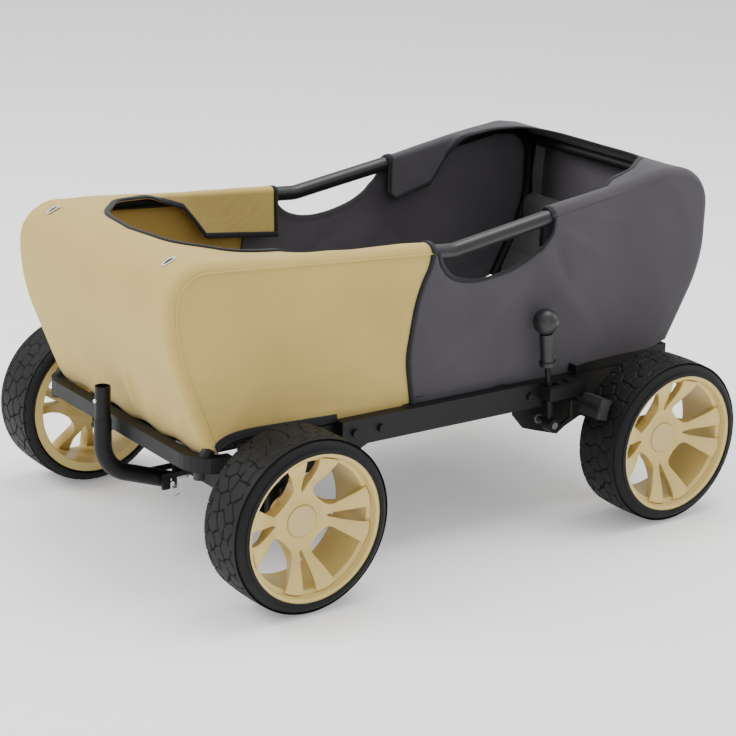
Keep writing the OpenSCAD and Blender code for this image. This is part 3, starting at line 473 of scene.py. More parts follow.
def tread_rubber_groove_shade(name):
    """Moulded foam rubber, matt and nearly black on the tread's faces, and mixed to black down in its grooves as
    painted shade.
    """
    material = grained(name, bpy.context.scene.wagon_colours.tyre, 1.2, 0.00012, 0.6, spread=0.12, specular=0.2)
    tree = material.node_tree
    shader = next(n for n in tree.nodes if n.type == "BSDF_PRINCIPLED")
    colour_in = shader.inputs["Base Color"]
    face = colour_in.links[0].from_socket
    groove_depth_and_shade = add(tree, "ShaderNodeAttribute", {"attribute_name": "groove_depth_and_shade"})
    # Painted shade: the colour goes to near black as the groove gets deep
    painted_groove_shade = add(tree, "ShaderNodeMix", {"data_type": "RGBA"},
        {"Factor": groove_depth_and_shade.outputs["Fac"], 6: face, 7: (0.0015, 0.0015, 0.0015, 1)})
    tree.links.new(painted_groove_shade.outputs[2], colour_in)
    return material


FINISHES = {}


def finish(name):
    """The wagon's finishes, each made once."""
    if name in FINISHES:
        return FINISHES[name]
    tint = bpy.context.scene.wagon_colours
    makers = {
        # Polyester canvas, woven and dyed: dull, with a faint sheen at grazing light
        "sand_polyester": lambda n: woven(n, tint.sand),
        "charcoal_polyester": lambda n: woven(n, tint.charcoal, spread=0.07),
        # The front cover's inside face, brightened as painted light for the shaded inside of the tub
        "lining_polyester_painted_light": lambda n: woven(n, tint.lining_painted_light, thread=1.3),
        # The rear cover's inside face: the charcoal 1.7 times brighter, painted light that lifts the shaded inside of
        # the tub
        "charcoal_lining_painted_light": lambda n: woven(n, shade(tint.charcoal, 1.7)[:3], thread=1.3),
        # Grosgrain tape: fine ribs across, nearly black
        "grosgrain_tape": lambda n: woven(n, tint.tape, thread=1.4, roughness=0.8, depth=0.0003, crumple=0.0001),
        "padding_polyester": lambda n: woven(n, tint.padding, thread=1.5, spread=0.08),
        "nylon_webbing": lambda n: woven(n, tint.webbing, thread=2.0, roughness=0.7, depth=0.0005, crumple=0.0001),
        # Epoxy powder coat, baked: fine orange peel, satin
        "powder_coated_steel": lambda n: grained(n, tint.steel, 1.6, 0.0001, 0.46, spread=0.1, specular=0.22),
        # Electroplated zinc: grey, slightly cloudy metal
        "zinc_plated_steel": lambda n: grained(n, hex_linear("#9A9C9F"), 2.5, 0.00005, 0.35, metallic=1.0),
        "drawn_steel": lambda n: grained(n, hex_linear("#A8AAAD"), 2.0, 0.00005, 0.28, metallic=1.0),
        "chrome_plate": lambda n: grained(n, hex_linear("#D8D9DA"), 4.0, 0.00001, 0.1, metallic=1.0, rough_spread=0.03),
        # Moulded EVA foam rubber: matt, with a slight bloom
        "foam_rubber": lambda n: grained(n, tint.tyre, 1.2, 0.00012, 0.6, spread=0.12, specular=0.2),
        "tread_rubber_groove_shade": tread_rubber_groove_shade,
        "grip_foam": lambda n: grained(n, hex_linear("#1B1C1E"), 1.0, 0.00006, 0.33, spread=0.08),
        "black_rubber": lambda n: grained(n, hex_linear("#1A1B1C"), 1.2, 0.0001, 0.6),
        # Injection-moulded polypropylene: satin, spark-eroded grain
        "rim_polypropylene": lambda n: grained(n, tint.rim, 0.9, 0.00005, 0.4, spread=0.03),
        "cap_polypropylene": lambda n: grained(n, tint.cap, 0.9, 0.00005, 0.42, spread=0.03),
        "knob_polypropylene": lambda n: grained(n, hex_linear("#1C1D1F"), 1.1, 0.00008, 0.42),
        "bush_nylon": lambda n: grained(n, hex_linear("#6F7072"), 1.0, 0.00005, 0.5),
        # Hardboard with a black film, embossed
        "film_faced_board": lambda n: grained(n, hex_linear("#2E2E30"), 2.2, 0.0002, 0.6),
        "white_thread": lambda n: woven(n, hex_linear("#E6E4DC"), thread=0.9, depth=0.0004, crumple=0.0001),
        # Near black: painted shade for the eyelets' slits
        "painted_slit_shade": lambda n: grained(n, hex_linear("#0C0C0C"), 2.0, 0.0001, 0.9),
    }
    FINISHES[name] = makers[name](name)
    return FINISHES[name]


def dress(piece, *names):
    """Gives a piece its finishes, in slot order."""
    piece.data.materials.clear()
    for name in names:
        piece.data.materials.append(finish(name))


def thicken(piece, thickness, inner_slot=0):
    """A cloth wall inwards from the modelled face."""
    wall = piece.modifiers.new("wall", "SOLIDIFY")
    wall.thickness = thickness
    wall.offset = -1
    wall.material_offset = inner_slot
    wall.use_even_offset = False


def declare(piece, body, slot, *nodes):
    """Puts a piece on the body it rides on and hides the CAD nodes it stands for. slot, what it is made of, is not
    used.
    """
    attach(piece, body)
    if nodes:
        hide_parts(*nodes)


def sheet_of(grid, flat=None):
    """Measures a cloth piece stretched on the frame: the area that its grid measures and its pattern's flat size: flat,
    or where that is None the grid's longest row and column. It keeps and gives back nothing."""
    e, f = grid[1:, :-1] - grid[:-1, :-1], grid[:-1, 1:] - grid[:-1, :-1]
    area = np.linalg.norm(np.cross(e, f), axis=-1).sum() * 1e-6
    long = np.linalg.norm(np.diff(grid, axis=0), axis=-1).sum(0).max() * MM
    wide = np.linalg.norm(np.diff(grid, axis=1), axis=-1).sum(1).max() * MM
    if flat:
        wide, long = flat
    wide, long = round(float(wide), 4), round(float(long), 4)
    area = min(round(float(area), 5), wide * long)


def made(name, parts, look, body, slot, *nodes, gap=0.00005, smooth_faces=True):
    """A piece meshed, welded, finished, put on its body, with its CAD nodes hidden."""
    piece = mesh_piece(name, parts, smooth_faces)
    weld(piece, gap)
    dress(piece, look)
    declare(piece, body, slot, *nodes)
    return piece


# ---- The covers ----

# Each cover's pulled folds: from and to in mm, half width and height. The front's are seen along x, the sides' along y
FOLDS = {
    "sand side": [
        ((-105, 480), (-125, 300), 13, 1.6), ((-160, 500), (-175, 330), 16, -1.2), ((-60, 470), (-190, 440), 10, 1.0),
        ((-440, 262), (-380, 330), 14, 1.2), ((-110, 275), (-230, 330), 16, 1.3), ((-120, 258), (-330, 285), 9, -0.8)],
    "charcoal side": [
        ((186, 520), (330, 505), 8, 1.8), ((190, 500), (300, 440), 11, 1.8), ((182, 486), (230, 400), 12, -1.4),
        ((196, 530), (420, 560), 7, -1.0), ((-70, 290), (130, 430), 17, 1.8), ((60, 262), (250, 420), 15, 1.5),
        ((-80, 262), (20, 330), 13, -1.2), ((300, 300), (180, 430), 18, 1.2), ((-95, 400), (-50, 330), 12, 1.0),
        ((440, 560), (500, 470), 16, 1.0)],
    "sand front": [
        ((32, 228), (52, 330), 9, 3.0), ((70, 236), (150, 330), 16, 2.0), ((-60, 228), (-110, 320), 15, 1.6),
        ((150, 228), (205, 300), 12, 2.2), ((-150, 228), (-205, 300), 12, 2.0), ((100, 226), (104, 262), 9, -2.5),
        ((-100, 226), (-104, 262), 9, -2.5), ((10, 232), (-30, 300), 10, -1.4)],
    "charcoal wrap": []}


def cover_folds(p, kind):
    """Height of a cover's folds at points p, outwards: soft waves and the folds pulled from its corners and fixings."""
    h = 0.9 * waves(p, 3, 210) + 0.35 * waves(p, 5, 80)
    front = kind == "sand front"
    share = p[..., 1] < -380 if front else 1
    for a, b, width, height in FOLDS[kind]:
        h = h + height * fold(p, a, b, width, (0, 2) if front else (1, 2)) * share
    return 1.5 * h * bpy.context.scene.wagon_sizes.wrinkle


def strip_section(blend, drop, rim_x):
    """Across the rail, from the outer seam to the inner edge, as (x, depth): a flat rim to rim_x where blend is 0,
    and where it is 1 a fold over the rail that hangs drop below the top inside."""
    u = SEAM_U + (rim_x - SEAM_U) * np.linspace(0, 1, WRAP_COLS)
    a = np.maximum(u - ROLL_FLAT, 0) / ROLL_R
    flat = np.stack([np.minimum(u, ROLL_FLAT) + ROLL_R * np.sin(a), ROLL_R * (1 - np.cos(a))], 1)
    k = np.linspace(ROLL_ARC, 0, 16)
    q = np.linspace(0, math.pi / 2, 14)[1:]
    count, r = len(drop), FLAP_TURN
    outside = np.stack([ROLL_FLAT + ROLL_R * np.sin(k), ROLL_R * (1 - np.cos(k))], 1)
    turn = np.stack([FLAP_X + r - r * np.sin(q), r - r * np.cos(q)], 1)
    hanging = np.stack([np.stack([np.full(count, FLAP_X - 1.0), r + 0.5 * (drop - r)], 1),
                        np.stack([np.full(count, FLAP_X - 3.0), drop], 1)], 1)
    over = np.concatenate([np.broadcast_to(outside, (count, *outside.shape)),
                           np.broadcast_to(turn, (count, *turn.shape)), hanging], 1)
    out = np.stack([even(row, WRAP_COLS) for row in over])
    return flat[None] * (1 - blend[:, None, None]) + out * blend[:, None, None]


def cover_wrap(y, hang, drop, rim_x, opening, s_end, split, kind):
    """A cover's wrap, ruled between the seam and hem outside and the opening's edge inside, in the tub's (u, s).
    y runs along the rail from the grips, where the section folds over it as far as hang; opening is the edge's path,
    s_end the hem's arc length, and split the share of the edge that faces the corner."""
    s = TUB.s_at_y(y, TOP_RUN)
    section = strip_section(hang, drop, rim_x)
    ys, zs, ny, nz = TUB.at(s)
    strip = np.stack([section[..., 0], ys[:, None] - section[..., 1] * ny[:, None] * (1 - hang[:, None]),
                      zs[:, None] - section[..., 1] * nz[:, None]], -1)
    # Round the corner, and then along the hem to the middle
    corner = np.stack([np.full(CORNER_ROWS, SEAM_U), np.linspace(s[-1], s_end, CORNER_ROWS)], 1)[1:]
    hem = np.stack([np.linspace(SEAM_U, 0, HEM_ROWS), np.full(HEM_ROWS, s_end)], 1)[1:]
    outer = np.concatenate([corner, hem])
    edge = rounded(opening, EDGE_POINTS)
    index = np.concatenate([np.linspace(0, split, CORNER_ROWS)[1:], np.linspace(split, 1, HEM_ROWS)[1:]])
    index = index * (EDGE_POINTS - 1)
    edge = np.stack([np.interp(index, np.arange(EDGE_POINTS), edge[:, k]) for k in (0, 1)], 1)
    edge = np.stack([edge[:, 0], TUB.s_at_y(edge[:, 1], TOP_RUN)], 1)
    t = np.linspace(0, 1, WRAP_COLS)[None, :, None]
    us = outer[:, None] * (1 - t) + edge[:, None] * t
    half = np.concatenate([strip, on_tub(us[..., 0], us[..., 1])])
    wrap = np.concatenate([half, half[::-1][1:] * np.array([-1, 1, 1])])
    n = normals(wrap)
    n = n * np.sign((n * (wrap - np.array([0, 0, 380]))).sum(-1, keepdims=True).mean())
    ease = smooth(t, 0, 0.12) * (1 - 0.8 * smooth(t, 0.9, 1.0))
    return wrap + n * cover_folds(wrap, kind)[..., None] * ease


def front_cover():
    """The sand wrap: flaps over both rails, the front deck and the front down to the bumper."""
    y = np.linspace(FRONT_WRAP_END, -330, 130)
    drop = np.interp(y, [-330, -282, -245, -223, -200, -56], [12, 15, 27, 52, 80, 86])
    opening = [(187, -330, 0), (177, -388, 50), (102, -449, 110), (0, -463, 0)]
    wrap = cover_wrap(y, smooth(y, -330, -272), drop, 187.0, opening, 0.0, 0.62, "sand front")
    # The hem sags in shallow scallops between its fixings on the bumper
    low = smooth(-wrap[..., 2], -262, -232)
    wrap[..., 2] -= low * (1.5 + 2.5 * np.cos(wrap[..., 0] / 240 * math.pi * 5))
    return wrap


SEAM_LINE = [(-86, 243), (-94, 290), (-100, 330), (-94, 372), (-86, 418), (-71, 456), (-59, 476), (-56, 488)]
HAND_LINE = [(-46, 492), (-40, 470), (-20, 448), (14, 437), (54, 436), (111, 447), (151, 466), (181, 491), (187, 513)]


def outline_in(points_from, points_to, count):
    """The seam's line on the side: the outline SEAM_DEPTH inside, between two arc lengths."""
    y, z, ny, nz = TUB.at(np.linspace(points_from, points_to, count))
    return np.stack([y - SEAM_DEPTH * ny, z - SEAM_DEPTH * nz], 1)


def corner_s(y, height):
    """Arc length where the outline, at least that height above the deck, comes nearest to y."""
    off = np.abs(TUB.points[:, 0] - y) + 1e3 * (TUB.points[:, 1] < DECK + height)
    return float(TUB.s[np.argmin(off)])


CORNER_FRONT, CORNER_REAR = corner_s(TUB_FRONT + 20, 240), corner_s(TUB_BACK - 20, 270)


def side_depth(yz, seams, kind):
    """How far a side panel's face stands from the middle plane: SEAM_X at its rolled seams, HALF_W a roll's width
    inside them, and its folds."""
    gap = line_gap(yz, seams)
    roll = np.clip(gap / SEAM_RISE, 0, 1)
    x = SEAM_X + (HALF_W - SEAM_X) * (1 - (1 - roll) ** 2)
    p = np.concatenate([np.full(yz.shape[:-1] + (1,), HALF_W), yz], -1)
    return x + (cover_folds(p, kind) + 1.2) * smooth(gap, 0, 30)


def front_side():
    """Grid of a sand side panel: a patch between the rolled front seam, the top seam, the overlap with the rear
    cover, and the hem over the wheel."""
    rows, cols = 90, 110
    s_top = float(TUB.s_at_y(FRONT_WRAP_END - 2, TOP_RUN))
    left, top = outline_in(0, CORNER_FRONT, rows), outline_in(CORNER_FRONT, s_top, cols)
    right = curve(SEAM_LINE + [tuple(top[-1])], rows)
    bottom = curve([tuple(left[0]), (-458, 231), (-445, 242), (-427, 248), (-397, 250), (-362, 249), (-309, 247),
        (-230, 244), (-127, 243), (-86, 243)], cols)
    yz = coons(left, right, bottom, top)
    x = side_depth(yz, np.concatenate([left, top]), "sand side")
    hem = smooth(-line_gap(yz, bottom), -25, 0)
    x = x * (1 - hem) + (HALF_W - 0.6) * hem
    return np.concatenate([x[..., None], yz], -1)


def rear_cover():
    """The charcoal wrap: along both rails from the grips, round the deep rear deck and down the back."""
    y = np.linspace(GRIP_END, 356, 110)
    drop = np.interp(y, [184, 200, 277, 296, 311, 344, 356], [66, 85, 76, 53, 34, 14, 11])
    opening = [(189, 356, 0), (182, 398, 50), (124, 480, 90), (0, 495, 0)]
    return cover_wrap(y, 1 - smooth(y, 298, 356), drop, 189.0, opening, TUB.s[-1], 0.6, "charcoal wrap")


def rear_side():
    """Grid of a charcoal side panel: a patch between the overlap, the hand hole and top seam, the rolled rear seam
    and the hem."""
    rows, cols = 90, 150
    s_grip = float(TUB.s_at_y(GRIP_END, TOP_RUN))
    run = outline_in(s_grip, CORNER_REAR, cols)
    hole = curve(HAND_LINE + [(186, 528), tuple(run[0])], 200)
    # The patch's columns stay dense at the hand hole
    share = np.concatenate([np.linspace(0, 0.52, 90), np.linspace(0.52, 1, cols - 89)[1:]])
    dense = even(np.concatenate([hole, run[1:]]), 3000)
    top = np.stack([np.interp(share, np.linspace(0, 1, len(dense)), dense[:, k]) for k in (0, 1)], 1)
    left = curve([(-104, 243), (-112, 290), (-118, 330), (-112, 372), (-104, 418), (-88, 452), (-66, 480),
        (-46, 492)], rows)
    right = outline_in(TUB.s[-1], CORNER_REAR, rows)
    bottom = curve([(-104, 243), (-43, 243), (58, 243), (176, 243), (222, 244), (250, 257), (330, 261), (420, 261),
        tuple(right[0])], cols)
    yz = coons(left, right, bottom, top)
    x = side_depth(yz, np.concatenate([run, right]), "charcoal side")
    hem = smooth(-line_gap(yz, bottom), -25, 0)
    x = x * (1 - hem) + (HALF_W - 0.6) * hem
    # It passes under the sand cover's edge and is drawn in round the hand hole
    x = x - 1.6 * (1 - smooth(yz[..., 0], -84, -40)) - 3.0 * smooth(-line_gap(yz, hole[:150]), -14, 0)
    return np.concatenate([x[..., None], yz], -1)


def edge_tape(grid, which, width=8.5):
    """A tape over one edge of a grid; which is 'first row', 'last row' or 'last column'."""
    g = {"first row": grid, "last row": grid[::-1], "last column": np.swapaxes(grid, 0, 1)[::-1]}[which]
    n = normals(g)[1]
    return tape(g[0] - n * 0.9, g[3] - g[0], n, width)


# The floor-edge bands as inner and outer lines of (x, y): a U round the front and sides, and one across the back
FLOOR_EDGES = [
    ([(209, 238), (209, -430), (205, -434), (-205, -434), (-209, -430), (-209, 238)],
     [(238.6, 238), (238.6, -455), (233, -470), (-233, -470), (-238.6, -455), (-238.6, 238)]),
    ([(-214, 431), (214, 431)], [(-214, 464), (214, 464)])]


def floor_band(inner, outer):
    """A flat band lying on the floor's edge, between two lines of (x, y)."""
    low, high = FLOOR_HIGH[2] + 0.2, FLOOR_HIGH[2] + 1.8
    rows = [[(*a, low), (*b, low), (*b, high), (*a, high)] for a, b in zip(inner, outer)]
    return capped(np.array(rows, float))


def side_uv(grid):
    """Lengths along the grid's middle row and column, in millimetres."""
    a = np.concatenate([[0], np.cumsum(np.linalg.norm(np.diff(grid[:, grid.shape[1] // 2], axis=0), axis=1))])
    b = np.concatenate([[0], np.cumsum(np.linalg.norm(np.diff(grid[grid.shape[0] // 2], axis=0), axis=1))])
    return np.stack(np.broadcast_arrays(a[:, None], b[None]), -1)


def wrap_uv(grid):
    """The wagon's own x and the distance along y and z: a cut laid flat from the middle of the front or back."""
    return np.stack([grid[..., 0], grid[..., 1] + grid[..., 2]], -1)


def point_out(piece):
    """Turns an open sheet's faces away from the middle of the tub."""
    mesh = piece.data
    centres = np.empty(len(mesh.polygons) * 3)
    facing = np.empty(len(mesh.polygons) * 3)
    mesh.polygons.foreach_get("center", centres)
    mesh.polygons.foreach_get("normal", facing)
    away = centres.reshape(-1, 3) - np.array([0, 0, 0.38])
    if (facing.reshape(-1, 3) * away).sum() < 0:
        mesh.flip_normals()
    mesh.update()


def cover_cloth(end, wrap, side_grid, looks, slot, wrap_nodes, length):
    """Makes a cover's wrap, length mm long laid flat, and its two side panels; gives back the panels' grids."""
    cloths = [(end + "_cover_wrap", wrap, wrap_uv(wrap), wrap_nodes, (2 * SEAM_U * MM, float(length) * MM))]
    grids = []
    for side, sign in SIDES.items():
        grid = side_grid()
        grid[..., 0] *= sign
        grids.append(grid)
        cloths.append(("%s_cover_side_%s" % (end, side), grid, side_uv(grid),
                       ["%s_side_panel_%s" % (end, side)], None))
    for name, grid, uv, nodes, flat in cloths:
        piece = mesh_piece(name, [(grid, False, False, False, uv)])
        point_out(piece)
        thicken(piece, bpy.context.scene.wagon_sizes.cover_t, 1)
        dress(piece, *looks)
        declare(piece, "frame", slot, *nodes)
        sheet_of(grid, flat)
    return grids


def taped(name, wrap, bands):
    """Makes the tape on a wrap's edges and along the given bands."""
    bands = [edge_tape(wrap, edge) for edge in ("last column", "first row", "last row")] + bands
    made(name, [(g, False, True, False, u) for g, u in bands], "grosgrain_tape", "frame", "cloth_grey")


class Front_Cover(bpy.types.Operator):
    """Makes the sand cover: its wrap, side panels, bindings and piping, and the floor's edge tapes"""
    bl_idname = "wagon.front_cover"
    bl_label = "Front cover"

    def execute(self, context):
        wrap = front_cover()
        length = TUB.s_at_y(FRONT_WRAP_END, TOP_RUN)
        grids = cover_cloth("front", wrap, front_side, ("sand_polyester", "lining_polyester_painted_light"), "cloth_sand",
                            ["front_wrap_panel"], length)
        bands, pipes = [], []
        ring = circle(context.scene.wagon_sizes.piping_d / MM / 2, 8)
        for sign, grid in zip(SIDES.values(), grids):
            # The second tape covers the hem only where it passes over the wheel
            bands += [edge_tape(grid, "last column", 9.5), edge_tape(grid[:, :67], "first row", 13.0)]
            seam = np.concatenate([grid[:, 0], grid[-1, 1:]]) + np.array([0.5 * sign, 0, 0])
            pipes.append((capped(carried(seam, ring, (sign, 0.0, 0.0))), False, True, False, None))
        made("front_seam_piping", pipes, "sand_polyester", "frame", "cloth_sand")
        taped("front_cover_binding", wrap, bands)
        made("floor_edge_tape", [(floor_band(*lines), False, True, False, None) for lines in FLOOR_EDGES],
             "grosgrain_tape", "frame", "cloth_grey", smooth_faces=False)
        return {"FINISHED"}


class Rear_Cover(bpy.types.Operator):
    """Makes the charcoal cover: its wrap, side panels with hand holes, and bindings"""
    bl_idname = "wagon.rear_cover"
    bl_label = "Rear cover"

    def execute(self, context):
        wrap = rear_cover()
        length = TUB.s[-1] - TUB.s_at_y(GRIP_END, TOP_RUN)
        grids = cover_cloth("rear", wrap, rear_side, ("charcoal_polyester", "charcoal_lining_painted_light"), "cloth_grey",
                            ["rear_wrap_panel", "inner_flaps"], length)
        # The hand hole's edge ends just behind the grip
        holes = [grid[:, :int(np.argmax(grid[-1, :, 1] > GRIP_END + 3))] for grid in grids]
        taped("rear_cover_binding", wrap, [edge_tape(hole, "last row", 9.0) for hole in holes])
        return {"FINISHED"}


class Eyelets(bpy.types.Operator):
    """Makes the two stitched eyelets on the front deck, each with a near-black disc of painted shade for its slit"""
    bl_idname = "wagon.eyelets"
    bl_label = "Eyelets"

    def execute(self, context):
        s = TUB.s_at_y(EYELET_Y, TOP_RUN)
        y, z, ny, nz = (float(v) for v in TUB.at(s))
        thread, gap = [], []
        for sign in (1, -1):
            a = np.linspace(0, 2 * math.pi, 48, endpoint=False)
            out = np.array([0, ny, nz])
            centre = np.array([sign * EYELET_X, y, z]) + out * 0.9
            rim_y, rim_z, rim_ny, rim_nz = TUB.at(s + EYELET_HALF_L * np.sin(a))
            loop = np.stack([centre[0] + EYELET_HALF_W * np.cos(a), rim_y + 0.9 * rim_ny, rim_z + 0.9 * rim_nz], 1)
            t = unit(np.roll(loop, -1, 0) - np.roll(loop, 1, 0))
            side = unit(np.cross(t, out))
            ring = circle(1.5, 8, 0.7)
            tube = loop[:, None] + ring[None, :, :1] * side[:, None] + ring[None, :, 1:] * out
            uv = np.stack(np.broadcast_arrays(a[:, None] * 7, np.linspace(0, 6, 8)[None]), -1)
            thread.append((tube, True, True, False, uv))
            # Painted shade: a near-black disc inside each stitched loop stands in for the dark of the slit
            slit_shade_disc = centre + out * 0.25 + np.linspace(0, 1, 4)[:, None, None] * (loop - centre)[None]
            gap.append((slit_shade_disc, False, True, False, None))
        made("eyelet_stitching", thread, "white_thread", "frame", "cloth_sand")
        made("eyelet_slit_shade", gap, "painted_slit_shade", "frame", "cloth_grey")
        return {"FINISHED"}


# ---- Tyres and rims ----

def tread_gap(turn, across, size, seed):
    """Distance in mm to the nearest edge between irregular blocks: the difference between the two nearest centres of
    a jittered, staggered lattice round the tyre."""
    rng = np.random.default_rng(seed)
    count, rows = int(round(2 * math.pi * WHEEL_R / size)), 7
    pitch = 2 * math.pi * WHEEL_R / count
    lift = TYRE_W / (rows - 2)
    jitter = rng.uniform(-0.27, 0.27, (rows, count, 2))
    a, w = turn * WHEEL_R, across
    row = np.floor(w / lift + rows / 2).astype(int)
    best = np.full((2,) + a.shape, 1e9)
    for dr in (-1, 0, 1):
        r = np.clip(row + dr, 0, rows - 1)
        shift = 0.5 * (r % 2)
        col = np.floor(a / pitch - shift).astype(int)
        for dc in (-1, 0, 1, 2):
            c = col + dc
            j = jitter[r, c % count]
            x = (c + shift + 0.5 + j[..., 0]) * pitch
            y = (r - rows / 2 + 0.5 + j[..., 1]) * lift
            d = np.hypot(a - x, (w - y) * 1.15)
            best[1] = np.minimum(best[1], np.maximum(best[0], d))
            best[0] = np.minimum(best[0], d)
    return best[1] - best[0]


def revolved(x, r, turn):
    """A section of distances x along the axle and radii r, turned round the axle."""
    return np.stack(np.broadcast_arrays(x, r * np.cos(turn)[:, None], r * np.sin(turn)[:, None]), -1)


def tyre_grid():
    """A tyre about its own axle: a revolved section with wide rounded shoulders, sunk by the tread's grooves, with
    the grooves' depth at each point, 0 to 1."""
    lip = 120.5
    section = rounded([
        (-TYRE_W / 2 + 10, lip - 11, 0), (-TYRE_W / 2 + 9.5, lip + 0.4, 2), (-TYRE_W / 2, lip + 1.5, 3),
        (-TYRE_W / 2, WHEEL_R - 3, 17), (0, WHEEL_R + 0.6, 600), (TYRE_W / 2, WHEEL_R - 3, 22),
        (TYRE_W / 2, lip + 1.5, 3), (TYRE_W / 2 - 9.5, lip + 0.4, 2), (TYRE_W / 2 - 10, lip - 11, 0)], 900)
    # The points bunch on the tread, where the grooves need them
    dense = np.cumsum(np.where((section[:, 1] > WHEEL_R - 16), 2.2, 1.0))
    spots = np.linspace(dense[0], dense[-1], TYRE_POINTS)
    section = np.stack([np.interp(spots, dense, section[:, k]) for k in (0, 1)], 1)
    turn = np.linspace(0, 2 * math.pi, TYRE_STEPS, endpoint=False)
    sizes = bpy.context.scene.wagon_sizes
    across = section[:, 0]
    gap = tread_gap(turn[:, None] + 0 * across[None], across[None] + 0 * turn[:, None],
                    sizes.tread_block / MM, sizes.tread_seed)
    groove_depth_and_shade = 1 - smooth(gap, 1.0, 2.6)
    # Each edge between blocks is cut along only part of its length, so the grooves are broken lines
    p = np.stack(np.broadcast_arrays(turn[:, None] * WHEEL_R, across[None], 0 * turn[:, None]), -1)
    groove_depth_and_shade = groove_depth_and_shade * smooth(waves(p, 11, 24), -0.75, -0.35)
    # The tread stops short of the shoulders
    outside = 1 - smooth(across, TYRE_W / 2 - 22, TYRE_W / 2 - 12)
    inside = 1 - smooth(-across, TYRE_W / 2 - 8, TYRE_W / 2 - 3)
    on_tread = smooth(section[:, 1], WHEEL_R - 15, WHEEL_R - 6) * outside * inside
    r = section[None, :, 1] - sizes.tread_depth / MM * groove_depth_and_shade * on_tread[None]
    return groove_depth_and_shade * on_tread[None], revolved(across[None], r, turn)


def wheel_place(end, sign, grid):
    """A wheel shape with +X outwards, put on its axle; on the right it is turned half round, not mirrored."""
    turned = grid * np.array([sign, sign, 1.0])
    return turned + np.array([sign * WHEEL_X, AXLE_Y * (-1 if end == "front" else 1), WHEEL_R])


class Tyres(bpy.types.Operator):
    """Makes the four tyres with their grooved treads"""
    bl_idname = "wagon.tyres"
    bl_label = "Tyres"

    def execute(self, context):
        groove_depth_and_shade, grid = tyre_grid()
        for end, side in WHEELS:
            place = wheel_place(end, SIDES[side], grid)
            piece = mesh_piece("tyre_tread_%s_%s" % (end, side), [(place, True, True, False, None)])
            # The grooves' depth, kept on the mesh as the mask of the painted shade in the grooves
            groove_shade_attribute = piece.data.attributes.new("groove_depth_and_shade", "FLOAT", "POINT")
            groove_shade_attribute.data.foreach_set("value", groove_depth_and_shade.reshape(-1))
            weld(piece)
            dress(piece, "tread_rubber_groove_shade")
            declare(piece, "wheel_%s_%s" % (end, side), "tyre_foam", "tyre_%s_%s" % (end, side))
        return {"FINISHED"}


BARREL_R, LIP_R, HUB_R = 108.0, 119.7, 26.4
RIM_FACE = TYRE_W / 2 - 2.0


def spoke_lines(count):
    """Radii from the hub to the barrel and, at each, the angles where a spoke's leg starts beside the slot and ends
    at the window, in radians.
    The window's edge leaves the neighbouring spoke along a quarter ellipse and then flares; the slot is a teardrop
    whose point is at the hub."""
    r = HUB_R + (BARREL_R - 1 - HUB_R) * np.linspace(0, 1, count) ** 1.25
    start = 43.0
    short = (start + 20 - np.minimum(r, start + 20)) / 20
    open_mm = np.where(r > start, 27.0 * np.sqrt(np.clip(1 - short ** 2, 0, 1)), 0)
    spread = 0.5 * np.clip(r - start - 20, 0, None)
    window = math.pi / 4 - (open_mm + spread * 0.42) / r
    slot = np.where(r > 46, (1.0 + 10.5 * np.clip((r - 46) / 50, 0, 1) ** 0.75) * smooth(r, 45, 50), 0) / r
    return r, slot, window


def dish(r):
    """How far out the spokes' face stands at radius r: low round the cap, and rising in a shallow S to the lip."""
    return 13.5 - 1.5 * smooth(r, 28, 40) + 29 * smooth(r, 40, BARREL_R + 3) ** 0.85


def rim_grids():
    """The spokes' front face as eight strips between slot and window, and the barrel and hub, revolved."""
    rows = 64
    r, slot, window = spoke_lines(rows)
    strips = []
    a = np.linspace(0, 1, 15)
    for k in range(4):
        middle = k * math.pi / 2
        for way in (1, -1):
            angle = slot[:, None] + (window - slot)[:, None] * a[None]
            width = (window - slot) * r
            crown = 2.6 * (1 - (2 * a[None] - 1) ** 2) * smooth(r, 50, 75)[:, None] * (width[:, None] > 4)
            t = middle + way * angle
            face = np.stack([dish(r)[:, None] + crown - 1.5, r[:, None] * np.sin(t), r[:, None] * np.cos(t)], -1)
            strips.append((face, False, False, way < 0, None))
    seat = TYRE_W / 2 - 7
    section = rounded([
        (-RIM_FACE, LIP_R, 0), (-RIM_FACE, BARREL_R - 4, 2), (RIM_FACE - 15, BARREL_R - 5, 2),
        (RIM_FACE - 12, BARREL_R + 1, 1.5), (RIM_FACE - 4, BARREL_R + 2.5, 2), (RIM_FACE - 0.5, BARREL_R + 4, 1.5),
        (RIM_FACE + 0.5, LIP_R - 3, 2.5), (RIM_FACE - 1, LIP_R, 1.5), (seat - 1, LIP_R - 0.3, 0),
        (seat - 2, BARREL_R + 1, 2), (-seat + 2, BARREL_R + 1, 2), (-seat, LIP_R - 0.3, 0),
        (-RIM_FACE, LIP_R, 0)], 260)[:-1]
    turn = np.linspace(0, 2 * math.pi, RIM_STEPS, endpoint=False)
    barrel = revolved(section[None, :, 0], section[None, :, 1], turn)
    hub = rounded([(-38, 8.5, 0), (-38, 22, 2), (0, 24, 1), (7.6, 25, 1), (12.0, 26.6, 1), (12.0, 30, 0)], 60)
    return strips, barrel, revolved(hub[None, :, 0], hub[None, :, 1], turn)


